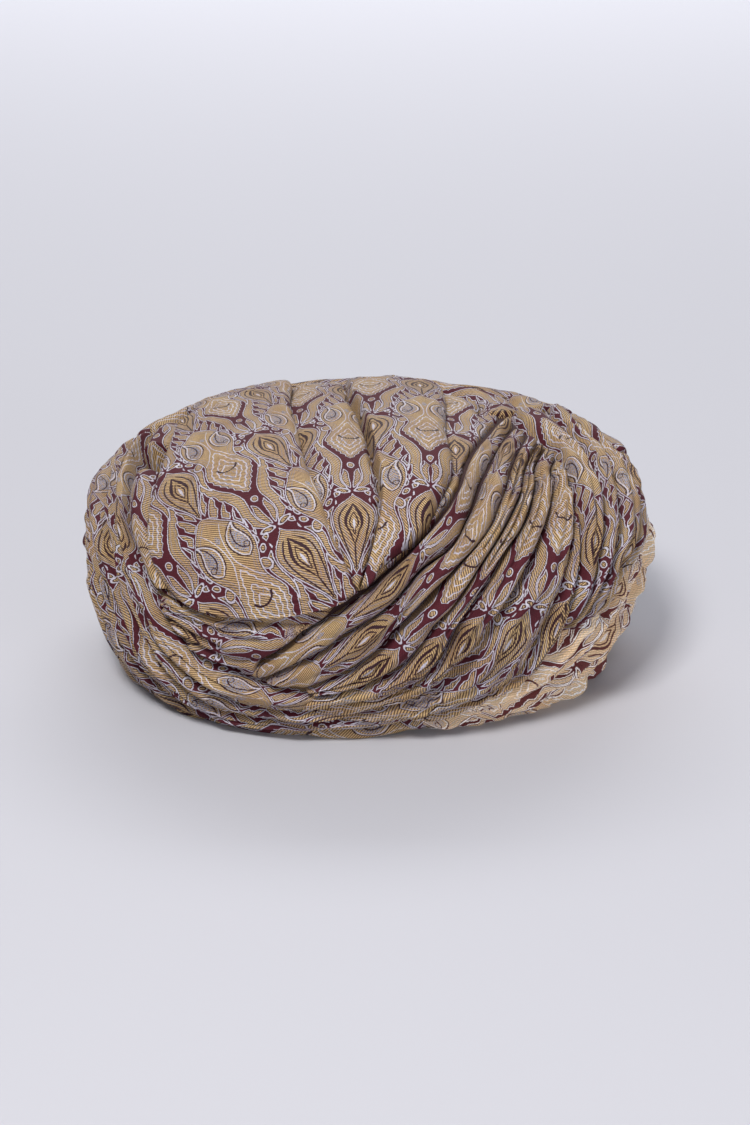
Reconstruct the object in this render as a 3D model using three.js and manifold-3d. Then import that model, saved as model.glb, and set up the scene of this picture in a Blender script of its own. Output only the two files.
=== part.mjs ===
// A tied turban lying on its rim: a hollow inner winding with pleats, wraps and rolls of brocade around it.
// Millimetres, +Z up, origin on the floor under the middle, the pleated front faces -Y.
import * as THREE from 'three';
import { mergeVertices } from 'three/addons/utils/BufferGeometryUtils.js';
import Module from 'manifold-3d';

const wasm = await Module();
wasm.setup();

// The whole winding without its outer folds, and the hollow that the head fills
const bodyForm = {
  halfWidth: 135, halfDepth: 124, middle: 64, rise: 59, drop: 106,
  planPower: 2.2, risePower: 2.5, dropPower: 2.15, leanDegrees: 1.2, aside: -1.2, behind: -0.5,
};
const headForm = {
  halfWidth: 76, halfDepth: 94, middle: 0, rise: 106, drop: 106,
  planPower: 2.1, risePower: 2.6, dropPower: 2.6, leanDegrees: 0, aside: 0, behind: 0,
};
const clearance = 0.3;      // left between neighbouring pieces
const buriedDepth = 9;      // how far a wrap reaches into the winding before it is cut to it
const windingRings = 12;    // faces from the crown to the underside
const windingSides = 32;    // faces around the winding
const hollowRings = 10;
const hollowSides = 24;
const shoulderAt = 0.28;    // where the side of a roll turns into its top, as a share of its width

const cloth = { colour: 0xa08a66, roughness: 0.72, metalness: 0.1 };
const lightCloth = { colour: 0xc2a574, roughness: 0.7, metalness: 0.1 };
const innerCloth = { colour: 0x6e5a48, roughness: 0.85, metalness: 0 };

// Each wrap is a table with a row for every fold line: valley is the height of the line over the winding,
// ridge is the height of the roll between it and the next line, at the wrap's start, middle and end, and path
// holds the azimuth and latitude, in degrees, of the stations that the line passes. Azimuth 0 is the front
// and 90 the right side.
const leftPanel = {
  name: 'crown_left_panel',
  finish: cloth,
  steps: 18,
  lines: [
    { valley: 3.5, ridge: [9, 11, 9],
      path: [[-126, 36], [-112, 48], [-93, 46], [-71, 42], [-54, 31], [-44, 15], [-34, 5], [-18, 6],
        [-3, 13]] },
    { valley: 9, ridge: [9, 10, 9],
      path: [[-140, 40], [-136, 56], [-108, 60], [-64, 57], [-41, 45], [-29, 32], [-22, 20], [-12, 14],
        [-2, 15]] },
    { valley: 5,
      path: [[-152, 40], [-153, 54], [-122, 71], [-50, 72], [-24, 61], [-13, 50], [-8, 38], [-4, 27],
        [-1, 16]] },
  ],
};

const valleyPleat = {
  name: 'crown_valley_pleat',
  finish: cloth,
  steps: 16,
  lines: [
    { valley: 6, ridge: [5, 6.5, 7],
      path: [[-150, 40], [-150, 54], [-116, 71], [-46, 72], [-22, 61], [-11, 50], [-6, 38], [-3, 27],
        [-1, 16]] },
    { valley: 5,
      path: [[-174, 40], [-174, 58], [-167, 80], [0, 84], [5, 68], [7, 54], [6, 44], [3, 33],
        [0, 17]] },
  ],
};

const middlePleat = {
  name: 'crown_middle_pleat',
  finish: cloth,
  steps: 16,
  lines: [
    { valley: 7, ridge: [5, 8, 8],
      path: [[-173, 39], [-172, 57], [-165, 79], [-6, 84], [3, 68], [5, 54], [4, 44], [2, 33],
        [-1, 17]] },
    { valley: 7,
      path: [[162, 39], [146, 60], [85, 73], [44, 65], [28, 53], [20, 45], [13, 35], [5, 27],
        [1, 18]] },
  ],
};

const rightPleat = {
  name: 'crown_right_pleat',
  finish: cloth,
  steps: 14,
  lines: [
    { valley: 2, ridge: [1, 1.5, 5],
      path: [[164, 39], [150, 60], [92, 74], [42, 66], [26, 54], [18, 46], [11, 36], [4, 28],
        [0, 19]] },
    { valley: 2,
      path: [[132, 40], [108, 56], [84, 60], [58, 59], [41, 53], [31, 46], [22, 39], [14, 31],
        [5, 22]] },
  ],
};

const rightFront = {
  name: 'right_front_wrap',
  finish: cloth,
  steps: 20,
  lines: [
    { valley: 2, ridge: [9, 9, 1],
      path: [[-26, -14], [-14, -3], [-4, 11], [5, 25], [13, 35], [21, 44], [30, 51], [48, 61], [88, 63],
        [118, 54]] },
    { valley: 5, ridge: [11, 9, 1],
      path: [[-27, -18], [-14, -9], [-4, -1], [5, 12], [12, 25], [20, 33], [27, 42], [42, 54], [78, 60],
        [117, 51]] },
    { valley: 4, ridge: [11, 9, 2],
      path: [[-29, -22], [-14, -17], [-3, -11], [4, -2], [11, 12], [20, 25], [28, 34], [41, 46],
        [66, 55], [116, 48]] },
    { valley: 4, ridge: [10, 10, 3],
      path: [[-27, -25], [-12, -19], [0, -15], [9, -8], [16, 6], [24, 22], [33, 34], [46, 44], [65, 52],
        [115, 45]] },
    { valley: 7, ridge: [10, 10, 4],
      path: [[-20, -25], [-6, -21], [6, -17], [14, -10], [20, 7], [28, 23], [37, 33], [50, 43],
        [67, 50], [114, 42]] },
    { valley: 5, ridge: [11, 10, 6],
      path: [[-14, -26], [0, -24], [11, -19], [18, -11], [25, 0], [32, 16], [40, 28], [52, 39],
        [69, 47], [113, 39]] },
    { valley: 4, ridge: [9, 9, 7],
      path: [[3, -27], [13, -26], [22, -23], [31, -18], [36, -8], [40, 5], [46, 20], [57, 35], [73, 44],
        [113, 36]] },
    { valley: 3,
      path: [[14, -29], [21, -27], [28, -23], [36, -18], [41, -7], [45, 5], [50, 20], [61, 34],
        [78, 42], [113, 33]] },
  ],
};

const rightOuter = {
  name: 'right_outer_wrap',
  finish: cloth,
  steps: 16,
  lines: [
    { valley: 4, ridge: [5, 10, 11],
      path: [[125, 52], [101, 57], [80, 50], [66, 43], [55, 32], [48, 20], [45, 8], [41, -7]] },
    { valley: 6, ridge: [8, 11, 11],
      path: [[124, 44], [104, 47], [86, 42], [72, 36], [61, 27], [53, 16], [49, 5], [45, -8]] },
    { valley: 5, ridge: [10, 11, 11],
      path: [[123, 35], [106, 38], [92, 35], [79, 30], [67, 22], [59, 12], [54, 1], [49, -9]] },
    { valley: 5, ridge: [11, 11, 9],
      path: [[122, 26], [108, 28], [97, 25], [86, 19], [75, 12], [67, 4], [60, -3], [54, -10]] },
    { valley: 3,
      path: [[121, 16], [109, 17], [101, 14], [92, 8], [82, 1], [74, -4], [66, -9], [59, -13]] },
  ],
};

const lowerRight = {
  name: 'lower_right_wrap',
  finish: lightCloth,
  steps: 16,
  lines: [
    { valley: 4, ridge: [9, 5, 4],
      path: [[112, 14], [96, 12], [80, 6], [68, -1], [54, -7], [42, -15], [30, -21], [16, -25],
        [6, -27]] },
    { valley: 4, ridge: [12, 6, 4],
      path: [[112, 2], [97, 0], [84, -6], [73, -12], [62, -17], [51, -22], [38, -26], [22, -29],
        [8, -30]] },
    { valley: 3, ridge: [8, 6, 3],
      path: [[112, -11], [98, -13], [86, -17], [76, -22], [66, -26], [54, -30], [40, -31], [25, -32],
        [10, -33]] },
    { valley: 3,
      path: [[112, -25], [98, -28], [87, -31], [77, -34], [67, -36], [55, -37], [41, -38], [26, -38],
        [10, -38]] },
  ],
};

const lowerLeft = {
  name: 'lower_left_wrap',
  finish: cloth,
  steps: 24,
  lines: [
    { valley: 4, ridge: [8, 9, 9],
      path: [[-128, 40], [-104, 37], [-82, 36], [-67, 31], [-57, 24], [-49, 14], [-44, 4], [-39, -6],
        [-32, -12], [-22, -15], [-14, -17], [-6, -18]] },
    { valley: 5, ridge: [10, 10, 10],
      path: [[-128, 34], [-107, 33], [-86, 33], [-71, 29], [-61, 22], [-53, 13], [-48, 3], [-43, -8],
        [-36, -15], [-28, -20], [-18, -22], [-6, -23]] },
    { valley: 3, ridge: [10, 10, 6],
      path: [[-128, 28], [-109, 29], [-90, 30], [-74, 26], [-64, 20], [-56, 11], [-52, 1], [-47, -10],
        [-40, -19], [-31, -25], [-18, -27], [2, -26]] },
    { valley: 5, ridge: [8, 8, 3],
      path: [[-129, 18], [-112, 20], [-97, 20], [-83, 17], [-74, 11], [-67, 2], [-61, -8], [-53, -17],
        [-44, -24], [-31, -29], [-14, -30], [8, -29]] },
    { valley: 5, ridge: [6, 9, 3],
      path: [[-130, 8], [-115, 9], [-102, 9], [-91, 5], [-83, -1], [-76, -9], [-69, -18], [-60, -26],
        [-48, -31], [-32, -34], [-12, -34], [12, -33]] },
    { valley: 3,
      path: [[-131, -4], [-117, -5], [-106, -6], [-98, -10], [-91, -16], [-84, -23], [-76, -31],
        [-66, -38], [-52, -42], [-33, -43], [-10, -43], [14, -43]] },
  ],
};

const upperLeft = {
  name: 'upper_left_wrap',
  finish: cloth,
  steps: 12,
  lines: [
    { valley: 2, ridge: [5, 6, 6],
      path: [[-62, 26], [-52, 20], [-42, 15], [-30, 13], [-17, 14], [-4, 15]] },
    { valley: 5.5, ridge: [7, 7, 6],
      path: [[-58, 20], [-50, 11], [-41, 5], [-30, 2], [-19, 2], [-8, 3]] },
    { valley: 4,
      path: [[-55, 14], [-49, 2], [-42, -7], [-33, -13], [-24, -15], [-15, -14]] },
  ],
};

const tuckBulge = {
  name: 'side_tuck_bulge',
  finish: cloth,
  steps: 8,
  lines: [
    { valley: 1, ridge: [7, 8, 8],
      path: [[-84, 38], [-73, 34], [-64, 28], [-57, 21], [-50, 14], [-45, 8]] },
    { valley: 1,
      path: [[-74, 45], [-62, 40], [-53, 33], [-46, 25], [-42, 17], [-40, 10]] },
  ],
};

const tuckLoop = {
  name: 'side_tuck_loop',
  finish: cloth,
  steps: 6,
  lines: [
    { valley: 1, ridge: [6, 6, 6],
      path: [[-112, 41], [-100, 41], [-90, 41], [-83, 40]] },
    { valley: 1,
      path: [[-108, 48], [-97, 48], [-87, 47], [-78, 45]] },
  ],
};

const backUpper = {
  name: 'back_upper_wrap',
  finish: cloth,
  steps: 14,
  lines: [
    { valley: 4, ridge: [2, 7, 9],
      path: [[108, 64], [134, 57], [180, 50], [-142, 44], [-108, 41]] },
    { valley: 5, ridge: [7, 9, 10],
      path: [[112, 52], [138, 45], [180, 39], [-144, 35], [-109, 35]] },
    { valley: 4, ridge: [10, 10, 10],
      path: [[116, 40], [142, 33], [180, 28], [-146, 26], [-110, 29]] },
    { valley: 4,
      path: [[120, 28], [146, 21], [180, 17], [-148, 17], [-112, 21]] },
  ],
};

const backMiddle = {
  name: 'back_middle_wrap',
  finish: cloth,
  steps: 14,
  lines: [
    { valley: 4, ridge: [11, 11, 10],
      path: [[102, 30], [134, 24], [180, 18], [-144, 16], [-108, 20]] },
    { valley: 5, ridge: [11, 11, 10],
      path: [[102, 18], [136, 13], [180, 8], [-142, 6], [-106, 10]] },
    { valley: 4,
      path: [[102, 6], [138, 2], [180, -3], [-140, -5], [-105, 0]] },
  ],
};

const backLower = {
  name: 'back_lower_wrap',
  finish: cloth,
  steps: 16,
  lines: [
    { valley: 4, ridge: [10, 10, 9],
      path: [[98, 8], [126, 2], [156, -2], [180, -3], [-150, -4], [-104, 4]] },
    { valley: 5, ridge: [9, 9, 9],
      path: [[98, -8], [126, -12], [156, -15], [180, -16], [-150, -16], [-104, -10]] },
    { valley: 4, ridge: [7, 7, 7],
      path: [[98, -22], [126, -25], [156, -27], [180, -28], [-150, -28], [-104, -24]] },
    { valley: 3,
      path: [[98, -40], [126, -41], [156, -42], [180, -42], [-150, -42], [-104, -41]] },
  ],
};

// Wraps in the order in which they lie: each one is cut to clear those named as over it
const wraps = [
  { ...leftPanel, under: [rightFront, lowerLeft, backUpper] },
  { ...valleyPleat, under: [leftPanel, middlePleat, rightFront, backUpper] },
  { ...middlePleat, under: [leftPanel, rightFront, backUpper] },
  { ...rightPleat, under: [middlePleat, rightFront, backUpper] },
  { ...rightFront, under: [rightOuter, lowerLeft, backUpper] },
  { ...rightOuter, under: [backUpper, backMiddle] },
  { ...lowerRight, under: [rightFront, rightOuter, backMiddle, backLower] },
  { ...lowerLeft, under: [lowerRight, backUpper, backMiddle, backLower] },
  { ...upperLeft, under: [leftPanel, rightFront, lowerLeft, tuckBulge] },
  { ...tuckBulge, under: [leftPanel, lowerLeft] },
  { ...tuckLoop, under: [leftPanel, lowerLeft, tuckBulge, backUpper] },
  { ...backUpper, under: [] },
  { ...backMiddle, under: [backUpper] },
  { ...backLower, under: [backMiddle, backUpper, rightOuter] },
];

function direction([azimuth, latitude]) {
  const turn = THREE.MathUtils.degToRad(azimuth);
  const climb = THREE.MathUtils.degToRad(latitude);
  return new THREE.Vector3(
    Math.cos(climb) * Math.sin(turn),
    -Math.cos(climb) * Math.cos(turn),
    Math.sin(climb),
  );
}

// Point of a rounded form in a direction, raised along the form's normal
function formPoint(form, way, lift) {
  const height = way.z >= 0 ? form.rise : form.drop;
  const power = way.z >= 0 ? form.risePower : form.dropPower;
  const { x, y, z } = way.clone().normalize();
  const plan = (Math.abs(x) ** form.planPower + Math.abs(y) ** form.planPower) ** (1 / form.planPower);
  const scale = (plan ** power + Math.abs(z) ** power) ** (-1 / power);
  const ring = Math.max(plan * scale, Number.EPSILON) ** (power - form.planPower);
  const normal = new THREE.Vector3(
    Math.sign(x) * ring * Math.abs(x * scale) ** (form.planPower - 1) / form.halfWidth,
    Math.sign(y) * ring * Math.abs(y * scale) ** (form.planPower - 1) / form.halfDepth,
    Math.sign(z) * Math.abs(z * scale) ** (power - 1) / height,
  ).normalize();
  const point = new THREE.Vector3(x * form.halfWidth, y * form.halfDepth, z * height).multiplyScalar(scale);
  point.addScaledVector(normal, lift);
  const lean = point.x * Math.tan(THREE.MathUtils.degToRad(form.leanDegrees));
  return point.add(new THREE.Vector3(form.aside, form.behind, form.middle + lean));
}

function solidFromTriangles(positions) {
  const geometry = new THREE.BufferGeometry();
  geometry.setAttribute('position', new THREE.Float32BufferAttribute(positions, 3));
  const merged = mergeVertices(geometry, 1e-4);
  return new wasm.Manifold(new wasm.Mesh({
    numProp: 3,
    vertProperties: merged.attributes.position.array,
    triVerts: new Uint32Array(merged.index.array),
  }));
}

// Closed form from rings of latitude, with a point at each pole
function roundSolid(form, lift, rings, sides) {
  const positions = [];
  const at = (ring, side) => formPoint(form, direction([
    360 * (side % sides) / sides,
    -90 + 180 * ring / rings,
  ]), lift).toArray();
  for (let ring = 0; ring < rings; ring += 1) {
    for (let side = 0; side < sides; side += 1) {
      if (ring > 0) positions.push(...at(ring, side), ...at(ring, side + 1), ...at(ring + 1, side));
      if (ring < rings - 1) {
        positions.push(...at(ring, side + 1), ...at(ring + 1, side + 1), ...at(ring + 1, side));
      }
    }
  }
  return solidFromTriangles(positions);
}

function foldCurve(line) {
  return new THREE.CatmullRomCurve3(line.path.map(direction), false, 'catmullrom', 0.5);
}

// Columns across a wrap: the fold lines, and the two shoulders of the roll between each two lines
function columnsOf(wrap) {
  const columns = [];
  for (let index = 0; index < wrap.lines.length - 1; index += 1) {
    const { valley, ridge } = wrap.lines[index];
    columns.push({ index, share: 0, lift: [valley, valley, valley] });
    columns.push({ index, share: shoulderAt, lift: ridge });
    columns.push({ index, share: 1 - shoulderAt, lift: ridge });
  }
  const { valley } = wrap.lines.at(-1);
  columns.push({ index: wrap.lines.length - 2, share: 1, lift: [valley, valley, valley] });
  return columns;
}

// Moves the top and bottom of a border away from the points beside it
function stretch(border, beside, growth) {
  for (const side of ['top', 'bottom']) {
    const away = border[side].clone().sub(beside[side]).normalize();
    border[side].addScaledVector(away, growth);
  }
}

function heightAlong([start, middle, end], along) {
  return along < 0.5
    ? THREE.MathUtils.lerp(start, middle, along * 2)
    : THREE.MathUtils.lerp(middle, end, along * 2 - 1);
}

// The same triangles facing the other way, for a band whose lines are listed from right to left
function turnedOver(positions) {
  const corner = 3;
  const turned = [];
  for (let start = 0; start < positions.length; start += 3 * corner) {
    turned.push(...positions.slice(start, start + corner));
    turned.push(...positions.slice(start + 2 * corner, start + 3 * corner));
    turned.push(...positions.slice(start + corner, start + 2 * corner));
  }
  return turned;
}

// A wrap's band: the folded upper face, and a plain lower face that lies inside the winding
function bandSolid(wrap, growth) {
  const curves = wrap.lines.map(foldCurve);
  const columns = columnsOf(wrap);
  const rows = [];
  for (let step = 0; step <= wrap.steps; step += 1) {
    const along = step / wrap.steps;
    rows.push(columns.map((column) => {
      const way = curves[column.index].getPoint(along);
      way.lerp(curves[column.index + 1].getPoint(along), column.share).normalize();
      const lift = heightAlong(column.lift, along);
      return {
        top: formPoint(bodyForm, way, lift + growth),
        bottom: formPoint(bodyForm, way, -buriedDepth),
      };
    }));
  }
  const last = columns.length - 1;
  for (const row of rows) {
    stretch(row[0], row[1], growth);
    stretch(row[last], row[last - 1], growth);
  }
  for (let column = 0; column <= last; column += 1) {
    stretch(rows[0][column], rows[1][column], growth);
    stretch(rows[wrap.steps][column], rows[wrap.steps - 1][column], growth);
  }
  const positions = [];
  const quad = (a, b, c, d) => {
    positions.push(...a.toArray(), ...b.toArray(), ...c.toArray());
    positions.push(...a.toArray(), ...c.toArray(), ...d.toArray());
  };
  for (let step = 0; step < wrap.steps; step += 1) {
    const here = rows[step];
    const next = rows[step + 1];
    for (let column = 0; column < last; column += 1) {
      quad(here[column].top, here[column + 1].top, next[column + 1].top, next[column].top);
      quad(here[column].bottom, next[column].bottom, next[column + 1].bottom, here[column + 1].bottom);
    }
    quad(here[0].top, next[0].top, next[0].bottom, here[0].bottom);
    quad(here[last].top, here[last].bottom, next[last].bottom, next[last].top);
  }
  for (let column = 0; column < last; column += 1) {
    const first = rows[0];
    const end = rows[wrap.steps];
    quad(first[column].top, first[column].bottom, first[column + 1].bottom, first[column + 1].top);
    quad(end[column].top, end[column + 1].top, end[column + 1].bottom, end[column].bottom);
  }
  const solid = solidFromTriangles(positions);
  return solid.volume() > 0 ? solid : solidFromTriangles(turnedOver(positions));
}

function largestPiece(solid) {
  const pieces = solid.decompose();
  return pieces.reduce((best, piece) => (piece.volume() > best.volume() ? piece : best));
}

function meshFrom(solid, name, finish) {
  const { vertProperties, triVerts } = solid.getMesh();
  const geometry = new THREE.BufferGeometry();
  geometry.setAttribute('position', new THREE.BufferAttribute(vertProperties, 3));
  geometry.setIndex(new THREE.BufferAttribute(triVerts, 1));
  geometry.computeVertexNormals();
  const mesh = new THREE.Mesh(geometry, new THREE.MeshStandardMaterial({
    color: finish.colour,
    roughness: finish.roughness,
    metalness: finish.metalness,
  }));
  mesh.name = name;
  return mesh;
}

function aboveFloor(solid) {
  return solid.trimByPlane([0, 0, 1], 0);
}

const turban = new THREE.Group();

const hollow = roundSolid(headForm, 0, hollowRings, hollowSides);
const winding = roundSolid(bodyForm, 0, windingRings, windingSides);
turban.add(meshFrom(aboveFloor(winding).subtract(hollow), 'inner_winding', innerCloth));

const windingRoom = roundSolid(bodyForm, clearance, windingRings, windingSides);
for (const wrap of wraps) {
  let solid = bandSolid(wrap, 0).subtract(windingRoom);
  for (const cover of wrap.under) solid = solid.subtract(bandSolid(cover, clearance));
  turban.add(meshFrom(largestPiece(aboveFloor(solid)), wrap.name, wrap.finish));
}

export default turban;
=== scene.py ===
# A tied turban of brocade lying on its rim: each wrap is a sheet of folded cloth around a hollow winding.
import math
import bmesh
import bpy
import numpy as np
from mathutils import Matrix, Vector
from mathutils.bvhtree import BVHTree


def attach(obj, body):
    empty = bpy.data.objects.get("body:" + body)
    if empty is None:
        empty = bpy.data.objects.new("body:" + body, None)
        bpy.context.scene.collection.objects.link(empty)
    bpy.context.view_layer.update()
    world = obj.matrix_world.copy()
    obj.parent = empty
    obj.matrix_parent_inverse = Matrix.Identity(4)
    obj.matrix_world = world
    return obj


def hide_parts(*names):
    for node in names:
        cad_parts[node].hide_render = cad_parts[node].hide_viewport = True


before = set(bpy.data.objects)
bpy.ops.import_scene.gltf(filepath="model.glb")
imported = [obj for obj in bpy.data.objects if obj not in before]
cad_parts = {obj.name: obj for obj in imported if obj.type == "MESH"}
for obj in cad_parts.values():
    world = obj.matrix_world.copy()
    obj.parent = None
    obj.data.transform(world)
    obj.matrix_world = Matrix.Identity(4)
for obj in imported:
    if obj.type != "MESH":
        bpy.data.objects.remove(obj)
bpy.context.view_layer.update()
print("stage: frame loaded")

mm = 0.001

# The whole winding without its outer folds, and the hollow that the head fills, in millimetres
bodyForm = {
    "halfWidth": 135, "halfDepth": 124, "middle": 64, "rise": 59, "drop": 106,
    "planPower": 2.2, "risePower": 2.5, "dropPower": 2.15, "leanDegrees": 1.2, "aside": -1.2, "behind": -0.5,
}
headForm = {
    "halfWidth": 76, "halfDepth": 94, "middle": 0, "rise": 106, "drop": 106,
    "planPower": 2.1, "risePower": 2.6, "dropPower": 2.6, "leanDegrees": 0, "aside": 0, "behind": 0,
}

view = {
    "elevation": 22, "distance": 1400, "lens": 86.4, "aim": (0, 0, 62),
    "moveRight": 4.15, "moveUp": -14,
}
lights = {
    "key": {"place": (-0.6, -1.4, 2.25), "target": (0, 0, 0.05), "size": 0.7, "power": 57,
            "colour": (1.0, 0.985, 0.97)},
    "fill": {"place": (1.1, -1.5, 0.25), "target": (0.05, 0, 0.03), "size": 1.0, "power": 15,
             "colour": (0.96, 0.97, 1.0)},
    "back": {"place": (0.4, 1.5, 1.9), "target": (0, 0, 0.05), "size": 1.2, "power": 5,
             "colour": (1.0, 0.98, 0.96)},
    "farFloor": {"place": (0, 3.8, 3.0), "target": (0, 4.8, 0), "size": 3.5, "power": 232,
                 "colour": (0.97, 0.98, 1.0)},
}
studio = {"floor": (0.545, 0.545, 0.585), "floorSize": 6, "floorRoughness": 0.9, "sky": (0.82, 0.83, 0.92),
          "skyStrength": 0.28}


def aimAt(thing, place, target):
    thing.location = place
    thing.rotation_euler = (target - place).to_track_quat("-Z", "Y").to_euler()


def makeCamera():
    climb = math.radians(view["elevation"])
    back = Vector((0, -math.cos(climb), math.sin(climb)))
    up = Vector((0, math.sin(climb), math.cos(climb)))
    shift = Vector((1, 0, 0)) * view["moveRight"] + up * view["moveUp"]
    target = (Vector(view["aim"]) + shift) * mm
    camera = bpy.data.objects.new("camera", bpy.data.cameras.new("camera"))
    camera.data.lens = view["lens"]
    camera.data.sensor_width = 36
    bpy.context.scene.collection.objects.link(camera)
    aimAt(camera, target + back * view["distance"] * mm, target)
    bpy.context.scene.camera = camera


def makeLights():
    for name, row in lights.items():
        lamp = bpy.data.objects.new(name, bpy.data.lights.new(name, "AREA"))
        lamp.data.size = row["size"]
        lamp.data.energy = row["power"]
        lamp.data.color = row["colour"]
        bpy.context.scene.collection.objects.link(lamp)
        aimAt(lamp, Vector(row["place"]), Vector(row["target"]))
    world = bpy.data.worlds.new("studio")
    world.use_nodes = True
    sky = world.node_tree.nodes["Background"]
    sky.inputs["Color"].default_value = (*studio["sky"], 1)
    sky.inputs["Strength"].default_value = studio["skyStrength"]
    bpy.context.scene.world = world


def makeFloor():
    bm = bmesh.new()
    bmesh.ops.create_grid(bm, x_segments=1, y_segments=1, size=studio["floorSize"])
    mesh = bpy.data.meshes.new("floor")
    bm.to_mesh(mesh)
    bm.free()
    floor = bpy.data.objects.new("floor", mesh)
    bpy.context.scene.collection.objects.link(floor)
    material = bpy.data.materials.new("floor")
    material.use_nodes = True
    shader = material.node_tree.nodes["Principled BSDF"]
    shader.inputs["Base Color"].default_value = (*studio["floor"], 1)
    shader.inputs["Roughness"].default_value = studio["floorRoughness"]
    mesh.materials.append(material)


makeCamera()
makeLights()
makeFloor()
bpy.context.scene.view_settings.view_transform = "Standard"
print("stage: camera, lights and floor")


# Azimuth 0 is the front and 90 the right side, in degrees
def direction(azimuth, latitude):
    turn, climb = np.broadcast_arrays(np.radians(azimuth), np.radians(latitude))
    return np.stack([np.cos(climb) * np.sin(turn), -np.cos(climb) * np.cos(turn), np.sin(climb)], -1)


# Point of a rounded form in each direction, raised along the form's normal, and that normal
def formPoint(form, way, lift):
    way = way / np.linalg.norm(way, axis=-1, keepdims=True)
    x, y, z = way[..., 0], way[..., 1], way[..., 2]
    height = np.where(z >= 0, form["rise"], form["drop"])
    power = np.where(z >= 0, form["risePower"], form["dropPower"])
    planPower = form["planPower"]
    plan = (abs(x) ** planPower + abs(y) ** planPower) ** (1 / planPower)
    scale = (plan ** power + abs(z) ** power) ** (-1 / power)
    ring = np.maximum(plan * scale, 1e-9) ** (power - planPower)
    normal = np.stack([
        np.sign(x) * ring * abs(x * scale) ** (planPower - 1) / form["halfWidth"],
        np.sign(y) * ring * abs(y * scale) ** (planPower - 1) / form["halfDepth"],
        np.sign(z) * abs(z * scale) ** (power - 1) / height,
    ], -1)
    normal /= np.maximum(np.linalg.norm(normal, axis=-1, keepdims=True), 1e-12)
    point = np.stack([x * scale * form["halfWidth"], y * scale * form["halfDepth"], z * scale * height], -1)
    point = point + normal * np.asarray(lift)[..., None]
    point[..., 2] += form["middle"] + point[..., 0] * math.tan(math.radians(form["leanDegrees"]))
    point[..., 0] += form["aside"]
    point[..., 1] += form["behind"]
    return point, normal


# Smooth curve of directions through a fold line's stations
def foldCurve(path, along):
    stations = direction(*np.array(path, float).T)
    points = np.vstack([2 * stations[0] - stations[1], stations, 2 * stations[-1] - stations[-2]])
    place = np.clip(along, 0, 1) * (len(stations) - 1)
    first = np.minimum(place.astype(int), len(stations) - 2)
    t = (place - first)[..., None]
    a, b, c, d = (points[first + step] for step in range(4))
    bend = (2 * a - 5 * b + 4 * c - d) * t ** 2 + (3 * b - 3 * c + d - a) * t ** 3
    curve = b + 0.5 * ((c - a) * t + bend)
    return curve / np.linalg.norm(curve, axis=-1, keepdims=True)


def smooth(t):
    t = np.clip(t, 0, 1)
    return t * t * (3 - 2 * t)


# Seeded smooth noise from -1 to 1 with one wave in about two units
def noise(seed, x, y, cells=64):
    table = np.random.default_rng(seed).random((cells, cells)) * 2 - 1
    i, j = np.floor(x).astype(int), np.floor(y).astype(int)
    s, t = smooth(x - i), smooth(y - j)
    i, j, iNext, jNext = (cell % cells for cell in (i, j, i + 1, j + 1))
    low = table[i, j] * (1 - s) + table[iNext, j] * s
    high = table[i, jNext] * (1 - s) + table[iNext, jNext] * s
    return low * (1 - t) + high * t


# Height along a line, from one value or from its start, middle and end
def heightAlong(values, along):
    start, middle, end = np.broadcast_to(values, 3)
    first = start + (middle - start) * smooth(along * 2)
    second = middle + (end - middle) * smooth(along * 2 - 1)
    return np.where(along < 0.5, first, second)


# Quarter of a rounded step: steep at 0 and level at 1
def wallShape(t):
    return np.sqrt(np.maximum(1 - (1 - np.clip(t, 0, 1)) ** 2, 0))


def lengthsAlong(points, axis):
    steps = np.linalg.norm(np.diff(points, axis=axis), axis=-1)
    start = np.zeros_like(np.take(steps, [0], axis=axis))
    return np.cumsum(np.concatenate([start, steps], axis=axis), axis=axis)


# Millimetres, counts, and shares of a fold's width or of a wrap's end ramp
clothDepth = {
    "tuck": 9, "tuckColumns": 5, "tuckBack": 0.035, "gapUnder": 1.7, "reach": 30, "depth": 14,
    "softSteps": 4, "floorSoftness": 0.8, "coverStart": 0.6, "spreadLift": 9,
}
bodyCentre = (0, 0, 50)

# What a wrap has unless its own dictionary says otherwise
plainWrap = {
    "slot": "brocade", "lean": 0, "wander": 0.05, "crown": 0.8, "crumple": 0, "ends": (0.025, 0.025),
    "creases": [], "foldPitch": None, "foldGap": 7, "patternStart": (0, 0),
}

# Waves along a wrap's length, and the shares of a fold that they change
uneven = {
    "wanderWaves": 9, "wanderStep": 3.7, "edgeWander": 0.5, "ridge": (6, 0.1), "groove": (8, 0.35),
    "creaseWaves": 7, "creaseStep": 9, "creaseStray": 0.06, "creaseEnd": 0.08, "creaseEdge": 0.12,
    "wrinkledGroove": 0.35,
}
creaseColumns = ("fold", "share", "from", "to", "depth", "width")

# Columns: length and width in millimetres, and share of the wrap's wrinkle or crumple height
wrinkleWaves = [(34, 5.5, 0.9), (15, 2.9, 0.45), (11, 9, 0.5)]
crumpleWaves = [(12, 8, 1), (6, 5, 0.6)]


def wrinkles(waves, seed, down, over):
    return sum(noise(seed + n, down / length, over / width) * share
               for n, (length, width, share) in enumerate(waves))


# Heights of each fold line along the wrap, with one column a line
def unevenHeights(rows, along, seed, waves, share):
    return np.stack([heightAlong(row, along) * (1 + share * noise(seed, along * waves, n))
                     for n, row in enumerate(rows)], 1)


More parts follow.
